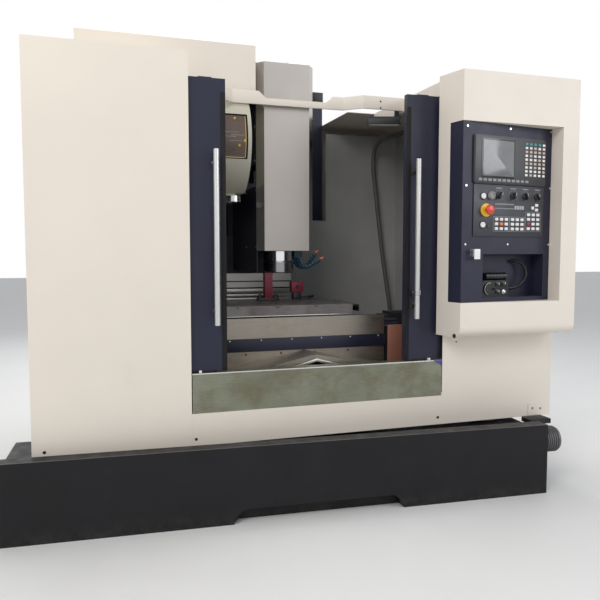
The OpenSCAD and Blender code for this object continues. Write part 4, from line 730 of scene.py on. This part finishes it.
def selector_knob(i, u, z, degrees):
    """A selector's round base with a straight grip, which has a white mark."""
    bm = bmesh.new()
    add_lathe(bm, KNOB_BASE, on_panel(u, 0, z), PANEL_OUT, 36)
    lean = Matrix.Rotation(math.radians(degrees), 4, "Y")

    def on_grip(x, w, h):
        spot = lean @ Vector((x, 0, h))
        return on_panel(u + spot.x, w, z + spot.z)

    add_box(bm, (-4.6, -26.5, -15.5), (4.6, -12, 15.5), on_grip)
    add_box(bm, (-0.9, -26.9, 2), (0.9, -26, 15), on_grip, 1)
    knob = keep(bm, f"selector_knob_{i + 1}", [black, white], f"selector_{i + 1}", bevel=0.0007)
    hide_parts(f"selector_{i + 1}")


button("start_cap", "start_button", CAP, START, white, "start_button", "white")
button("stop_cap", "stop_button", CAP, STOP, white, "stop_button", "white")
button("estop_mushroom", "estop_button", MUSHROOM, ESTOP, red_gloss, "estop", "red")
for i, (u, z) in enumerate(SELECTORS):
    selector_knob(i, u, z, 35 - 25 * i)

# Saddle's wiper strip, the table's trim and the brown guard plate beside it
STRIP_X, STRIP_Y, STRIP_LOW, STRIP_TOP, APRON_Y = 452, 293.4, 691, 757, 300
boxes("wiper_strip", [((-STRIP_X, STRIP_Y, STRIP_LOW), (STRIP_X, 295, STRIP_TOP)),
                      ((-STRIP_X, 295, STRIP_LOW), (STRIP_X, APRON_Y - 0.1, 699.9))],
      navy, "saddle")
studs("strip_screws", row(-392, 162, 6, STRIP_Y, 748), FRONT, 3.6, 2, slat, "saddle")
studs("apron_screws", row(-309, 185, 4, APRON_Y, 677), FRONT, 5.5, 1.4, black, "saddle")
studs("table_plugs", row(-555, 210, 4, 320, 912), FRONT, 5, 1.4, black, "table")
boxes("table_drip_edge", [((-718, 317.5, 865), (278, 320, 869))], slat, "table")
boxes("table_end_wiper", [((280, 330, 905), (316, 700, 914)), ((316, 330, 878), (322, 700, 914))],
      rubber, "table", bevel=0.002)
boxes("brown_guard", [((436, 212, 560), (530, 218, 812))], brown_sheet, "machine")

# Transport set on the table: a red post on its black foot with two nuts, and a red block with a rod
TABLE_TOP, FOOT_TOP = 920, 932
NUT = [(0, 0), (17, 0), (17, 3), (14, 3.2), (14, 17), (8, 17.2), (8, 26), (6.5, 28), (0, 28)]
lathes("transport_nuts", [(NUT, at(x, 724, FOOT_TOP), UP, 6) for x in (-124, -32)], black, "table")


def transport_set():
    """The post, foot, stand and block, with a pit in the block and a rod through it."""
    bm = bmesh.new()
    for low, high, tone in (((-101, 704, FOOT_TOP), (-55, 744, 1076), 0),
                            ((-140, 700, TABLE_TOP), (-16, 748, FOOT_TOP), 1),
                            ((82, 740, TABLE_TOP), (126, 780, 960), 1),
                            ((70, 734, 960), (138, 786, 1020), 0)):
        add_box(bm, low, high, at, tone)
    pit = [(0, 0), (13, 0), (13, 1), (11, 1), (10, -3), (0, -3)]
    rod = [(0, 0), (8, 0), (8, 84), (7, 86), (0, 86)]
    rod_nut = [(8, 0), (14, 1), (14, 12), (8, 13), (8, 0)]
    add_lathe(bm, pit, at(104, 733.8, 990), FRONT, 24, 1)
    add_lathe(bm, rod, at(126, 760, 936), RIGHT, 20, 1)
    add_lathe(bm, rod_nut, at(180, 760, 936), RIGHT, 6, 1)
    packing = keep(bm, "transport_set", [red_paint, black], "table", bevel=0.001)
    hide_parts("transport_blocks")


transport_set()


# Spindle nose, head screws and junction box
def nose_band(radius, low, high):
    """A thin band about the nose between two heights, with chamfered edges."""
    return [(radius[0], low), (radius[1], low + 1), (radius[1], high - 1.5), (radius[0], high),
            (radius[0], low)]


nose = (Vector(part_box("spindle")[0]) + Vector(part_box("spindle")[1])) / 2
nose.z = 0.0
lathes("nose_rings", [(nose_band((84.5, 85.8), 1079, 1137.5), nose, UP, 64),
                      (nose_band((83.5, 85.4), 1143, 1201.5), nose, UP, 64, 1)],
       [nose_steel, chrome], "head")
studs("head_screws", [(-164, 672, 1886), (-164, 672, 1700), (-164, 900, 1886)], LEFT, 5.5, 2.6, chrome,
      "head")
studs("side_screws", [(-161, y, z) for y in (668, 900) for z in (1540, 1223)], LEFT, 5.5, 2.6, chrome,
      "head")
boxes("head_junction", [((164, 690, 2045), (243, 730, 2103)), ((176, 688, 2057), (231, 690, 2091))], black,
      "head", bevel=0.003)

# Door seals, round handles with their posts, the latch on the right one, and the guides under the doors
SEAL_BACK, SEAL_FRONT, SEAL_LOW, SEAL_TOP = 25, 21.5, 656, 1900
boxes("seal_left", [((-483, SEAL_FRONT, SEAL_LOW), (-461.5, SEAL_BACK, SEAL_TOP))], rubber, "door_l")
boxes("seal_right", [((437.5, SEAL_FRONT, SEAL_LOW), (459, SEAL_BACK, SEAL_TOP))], rubber, "door_r")
BAR = [(0, 0), (11, 0), (12.5, 2), (12.5, 778), (11, 780), (0, 780)]
POST = [(0, 0), (15, 0), (15, 3), (9, 5), (9, 38), (0, 38)]
LATCH_RING = [(12.4, 0), (17, 0), (17, 24), (12.4, 24), (12.4, 0)]
LATCH_KNOB = [(0, 0), (8, 0), (8, 8), (11, 9), (11, 18), (9, 20), (0, 20)]
BAR_Y, BAR_LOW, POST_HEIGHTS = -22, 865, (925, 1585)


def round_handle(side, x, body):
    """A door's bar on two posts; the right one carries the latch."""
    bm = bmesh.new()
    add_lathe(bm, BAR, at(x, BAR_Y, BAR_LOW), UP, 32)
    for z in POST_HEIGHTS:
        add_lathe(bm, POST, at(x, SEAL_BACK, z), FRONT, 24, 1)
    if side == "right":
        add_lathe(bm, LATCH_RING, at(x, BAR_Y, 984), UP, 28, 2)
        add_lathe(bm, LATCH_KNOB, at(x - 12, BAR_Y, 996), LEFT, 24, 1)
        add_box(bm, (x - 26, -16, 978), (x + 8, 24.9, 988), at, 1)
    bar = keep(bm, f"round_handle_{side}", [handle_alu, black, chrome], body)
    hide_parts(f"handle_{side}")


round_handle("left", -513, "door_l")
round_handle("right", 480, "door_r")
boxes("door_guides", [((x, 6, 650), (x + 12, 20, 661)) for x in (-593, 562)], white, "machine")

# Front sheet: screws, hem plate, sill edge with a film left in its corner, rim screws and the side lock
studs("skirt_screws", [(-611, 0, 352), (617, 0, 356), (-1250, 0, 352)], FRONT, 7, 2, black, "machine")
boxes("hem_plate", [((1166, -2, 324), (1252, 0, 386))], cream, "machine")
studs("hem_screws", [(1187, -2, 361), (1237, -2, 357)], FRONT, 6, 2.4, black, "machine")
EDGE_T, FILM_T = 0.8, 0.4
boxes("sill_edge", [((-627, -EDGE_T, 645), (633, 0, 650))], slat, "machine", bevel=0.0003)
FILM = [(588, 649.5), (634, 649.5), (634, 619), (622, 628), (604, 638)]
bm = bmesh.new()
add_plate(bm, FILM, (-EDGE_T - FILM_T, -EDGE_T), at)
keep(bm, "corner_film", blue_film, "machine")
studs("rim_screws", [(507, 480, z) for z in (2028, 1992)], FRONT, 5, 2, black, "machine")
CABINET_SIDE = Vector((-1, -0.21, 0))
LOCK = [(0, 0), (11, 0), (11, 2), (8, 3), (7, 1), (0, 1)]
LOCK_PIN = [(0, 0), (4, 0), (4, 1.5), (0, 1.5)]
lathes("side_lock", [(LOCK, at(627, -128, 787), CABINET_SIDE, 24),
                     (LOCK_PIN, at(630.5, -142, 760), CABINET_SIDE, 16)], black, "machine")

# Work lamp under the roof, a light grey strip painted as the highlight along the tank's top edge, and the
# auger gearbox
LAMP_SPOT, LAMP_RUN = (468, 561), (210, -69)
TANK_CORNER, TANK_YAW = (-1430, -91), math.radians(-3.8)
lamp_turn = Matrix.Rotation(math.atan2(LAMP_RUN[1], LAMP_RUN[0]), 4, "Z")
tank_turn = Matrix.Rotation(TANK_YAW, 4, "Z")


def on_lamp(u, w, z):
    """A point in the work lamp's own axes, in the frame's metres."""
    return at(*LAMP_SPOT, 0) + lamp_turn @ (Vector((u, w, z)) / MM_PER_M)


def on_tank(u, w, z):
    """A point in the tank's own axes, in the frame's metres."""
    return at(*TANK_CORNER, 0) + tank_turn @ (Vector((u, w, z)) / MM_PER_M)


boxes("work_lamp", [((0, 0, 1916), (184, 34, 1960)), ((6, 4, 1913), (178, 30, 1916), 1),
                    ((150, 6, 1960), (176, 28, 2000)), ((150, 6, 1992), (190, 28, 2000))],
      [black, white], "machine", on_lamp, 0.002)
# A thin light grey strip along the tank's top front edge: a painted highlight
boxes("tank_edge_highlight", [((2, 0.6, 343), (2518, 3.5, 345))], auger_grey, "machine", on_tank, 0.0004)
gearbox_ribs = [((x, -99, 302), (x + 5, -9, 326)) for x, _, _ in row(1116, 12, 10, 0, 0)]
boxes("auger_gearbox", [((1112, -96, 300), (1232, -12, 322)), *gearbox_ribs], gloss_black, "machine")

# Slats behind the table on the wall, and black strips on the column's way covers painted as the shade in the
# gaps between their bands
WALL_SLATS = ((926, 956), (902, 920), (866, 896))
boxes("rear_slats", [((-226, 1280.6, low), (226, 1282, high)) for low, high in WALL_SLATS], slat,
      "machine", bevel=0.0004)
# Black strips in the gaps between the way cover's bands: painted shade, not real lips
boxes("gap_shade_high", [((-231, 1270.6, 1001), (231, 1272, 1008))], rubber, "z_cover_high",
      bevel=0.0004)
boxes("gap_shade_low", [((-226, 1275.7, 958), (226, 1277, 965))], rubber, "z_cover_low",
      bevel=0.0004)

# The roof rim with its sloped notch for the head
RIM_LOW, RIM_TOP, NOTCH_TOP, RIM_T = 1985, 2055, 2020, 12
RIM_PATH = [(-629, 480, RIM_TOP), (-400, 480, RIM_TOP), (-312, 562, RIM_TOP), (-168, 564, RIM_TOP),
            (-128, 564, NOTCH_TOP), (217, 564, NOTCH_TOP), (253, 564, RIM_TOP), (318, 562, RIM_TOP),
            (404, 481, RIM_TOP), (650, 480, RIM_TOP)]


def bent_rim():
    """An upright band along the path, from one level up to each point's top."""
    bm = bmesh.new()
    rows = []
    for x, y, top in RIM_PATH:
        section = ((y, RIM_LOW), (y, top), (y + RIM_T, top), (y + RIM_T, RIM_LOW))
        rows.append([bm.verts.new(at(x, across, z)) for across, z in section])
    add_tube(bm, rows)
    rim = keep(bm, "bent_rim", cream, "machine", bevel=0.001)
    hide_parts("roof_rim")


bent_rim()

# The magazine drum's lining behind its window, with brass strips, pale arcs painted as reflections, and small
# marks
DRUM_Y, DRUM_Z, LINING_R, LINING_FACE = 810, 1795, 290, 292


def add_arc(bm, xs, degrees, radii, index=0, steps=14):
    """A curved strip of the magazine drum between two angles above the level, seen from the front."""
    rows = []
    for k in range(steps + 1):
        a = math.radians(degrees[0] + (degrees[1] - degrees[0]) * k / steps)
        section = ((xs[0], radii[0]), (xs[1], radii[0]), (xs[1], radii[1]), (xs[0], radii[1]))
        spots = [at(x, DRUM_Y - r * math.cos(a), DRUM_Z + r * math.sin(a)) for x, r in section]
        rows.append([bm.verts.new(spot) for spot in spots])
    add_tube(bm, rows, index)


def magazine_lining():
    """The lining, its brass strips, pale arcs painted as reflections, and small marks."""
    bm = bmesh.new()
    add_arc(bm, (-380, -247), (-20.5, 24), (LINING_R, LINING_FACE))
    add_arc(bm, (-252, -249), (-20, 23.5), (LINING_FACE, 293.5), 1)
    add_arc(bm, (-370, -256), (-20.5, -19.8), (LINING_FACE, 293.5), 1)
    # Pale grey arcs on the lining: painted reflections
    for x, low, high in ((-345, 0.5, 1.1), (-300, 2.2, 2.8), (-330, 5.0, 5.5), (-310, -3.6, -3.1)):
        add_arc(bm, (x - 30, x + 40), (low, high), (LINING_FACE, 292.8), 2, 8)
    for x, a in ((-290, -9), (-312, 19), (-262, -4)):
        add_arc(bm, (x, x + 9), (a, a + 2.2), (LINING_FACE, 296), 3, 3)
    keep(bm, "magazine_lining", [lining_brown, brass, plug_grey, yellow], "machine")


magazine_lining()

# Orange tips of the coolant nozzles
TIP = [(0, -14), (7.5, -14), (8, -6), (5, 4), (3.5, 12), (0, 12)]
tips = []
for spot, degrees in (((245, 794, 1198), 40), ((269, 766, 1159), 28)):
    a = math.radians(degrees)
    tips.append((TIP, at(*spot), Vector((math.cos(a), 0, math.sin(a))), 20))
lathes("nozzle_tips", tips, orange, "head")

# Seams and hem screws of the side sheets
SIDE_X, SEAM_T = 1300, 0.6
for label, sign in (("left", -1), ("right", 1)):
    hem = [(sign * SIDE_X, 60 + 118 * k, 345) for k in range(10)]
    studs(f"hem_screws_{label}", hem, Vector((sign, 0, 0)), 6, 2, black, "machine")
    inner, outer = sorted((sign * SIDE_X, sign * (SIDE_X + SEAM_T)))
    boxes(f"seams_{label}", [((inner, y, 360), (outer, y + 2.5, 1960)) for y in (430, 838)], plug_grey,
          "machine", bevel=0.0002)


# Pendant's knobs, the rim of its wheel, and the ribbed grip on it
def pendant_knobs():
    """Three black knobs and a bright one, each with a white mark."""
    bm = bmesh.new()
    for u, z, r, tone in ((244, 1034, 9, 0), (244, 996, 9, 0), (284, 1034, 11, 0), (284, 996, 7, 1)):
        profile = [(0, 0), (r + 3, 0), (r + 3, 2), (r, 3), (r, 9), (r - 2, 11), (0, 11)]
        add_lathe(bm, profile, on_panel(u, 18, z), PANEL_OUT, 24, tone)
        add_box(bm, (u - 1, 5.5, z), (u + 1, 7.2, z + r), on_panel, 2)
    keep(bm, "pendant_knobs", [gloss_black, chrome, white], "machine")


def pendant_grip():
    """A cylinder with ribs, which lies along the pendant."""
    profile = [(0, 0)]
    for k in range(15):
        profile += [(16, 9 * k), (19, 9 * k + 2), (19, 9 * k + 5), (16, 9 * k + 7)]
    profile.append((0, 133))
    part = (profile, on_panel(176, 38, 1073.5), panel_turn @ RIGHT, 36)
    lathes("pendant_grip", [part], gloss_black, "machine")


pendant_knobs()
WHEEL_RIM = [(28.5, 0), (31, 1.5), (32, 4), (31, 6.5), (28.5, 8), (28.5, 0)]
lathes("wheel_rim", [(WHEEL_RIM, on_panel(188, 16, 1012.2), PANEL_OUT, 48)], chrome, "pendant_wheel")
pendant_grip()

# Folded lip at the middle of the front way cover's leading edge
cover_low, cover_high = (MM_PER_M * (Vector(corner) - origin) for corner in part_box("y_cover_front"))
COVER_RISE, COVER_HALF = 124, 430
LIP_X, LIP_DEEP = 110, 16


def on_cover(x, y, z):
    """A point at a height from the tent-shaped cover's top, in the frame's metres."""
    return at(x, y, cover_high.z + z - COVER_RISE * abs(x) / COVER_HALF)


boxes("cover_lip", [((low, cover_low.y - 1, -LIP_DEEP), (high, cover_low.y, -0.5))
                    for low, high in ((-LIP_X, 0), (0, LIP_X))],
      slat, "y_cover_front", on_cover, 0.0003)

# Floor and backdrop
FLOOR_HALF = 30
ROOM_STRENGTH = 0.45
floor_mat = surface("studio_floor", (0.80, 0.80, 0.79), rough=0.6, vary=0.01)
mesh = bpy.data.meshes.new("floor")
floor_corners = [(x * FLOOR_HALF, y * FLOOR_HALF, 0) for x, y in ((-1, -1), (1, -1), (1, 1), (-1, 1))]
mesh.from_pydata(floor_corners, [], [(0, 1, 2, 3)])
mesh.materials.append(floor_mat)
floor = bpy.data.objects.new("floor", mesh)
bpy.context.collection.objects.link(floor)

world = bpy.data.worlds.new("studio")
bpy.context.scene.world = world
world.use_nodes = True
world_nodes, world_links = world.node_tree.nodes, world.node_tree.links
room = world_nodes["Background"]
room.inputs["Color"].default_value = (0.93, 0.95, 1.0, 1)
room.inputs["Strength"].default_value = ROOM_STRENGTH
backdrop = world_nodes.new("ShaderNodeBackground")
backdrop.inputs["Color"].default_value = (1.0, 1.0, 1.0, 1)
backdrop.inputs["Strength"].default_value = 1.0
rays = world_nodes.new("ShaderNodeLightPath")
seen = rays.outputs["Is Camera Ray"]
for kind in ("Is Glossy Ray", "Is Transmission Ray"):
    seen = calculate(world_nodes, world_links, "MAXIMUM", seen, rays.outputs[kind])
shown = world_nodes.new("ShaderNodeMixShader")
for source, socket in zip((seen, room.outputs[0], backdrop.outputs[0]), shown.inputs):
    world_links.new(source, socket)
world_links.new(shown.outputs[0], world_nodes["World Output"].inputs["Surface"])


def area_light(name, place, target, size, power, color=(1, 1, 1)):
    """A rectangular lamp in metres and watts that faces its target."""
    data = bpy.data.lights.new(name, "AREA")
    data.shape = "RECTANGLE"
    data.size, data.size_y = size
    data.energy = power
    data.color = color
    lamp = bpy.data.objects.new(name, data)
    bpy.context.collection.objects.link(lamp)
    lamp.location = place
    lamp.rotation_euler = (Vector(target) - Vector(place)).to_track_quat("-Z", "Y").to_euler()


area_light("key", (-3.2, -5.0, 4.6), (0, 0, 1.0), (3.0, 2.4), 160, (1.0, 0.97, 0.92))
area_light("fill", (4.2, -4.6, 3.0), (0.2, 0, 1.1), (3.0, 3.0), 78, (0.93, 0.96, 1.0))
area_light("roof_light", (0.0, 0.6, 5.2), (0, 0, 0), (4.0, 3.0), 110)
area_light("back", (0.5, 5.0, 3.5), (0, 0, 1.2), (3.0, 2.0), 80)

bpy.context.scene.view_settings.view_transform = "Standard"
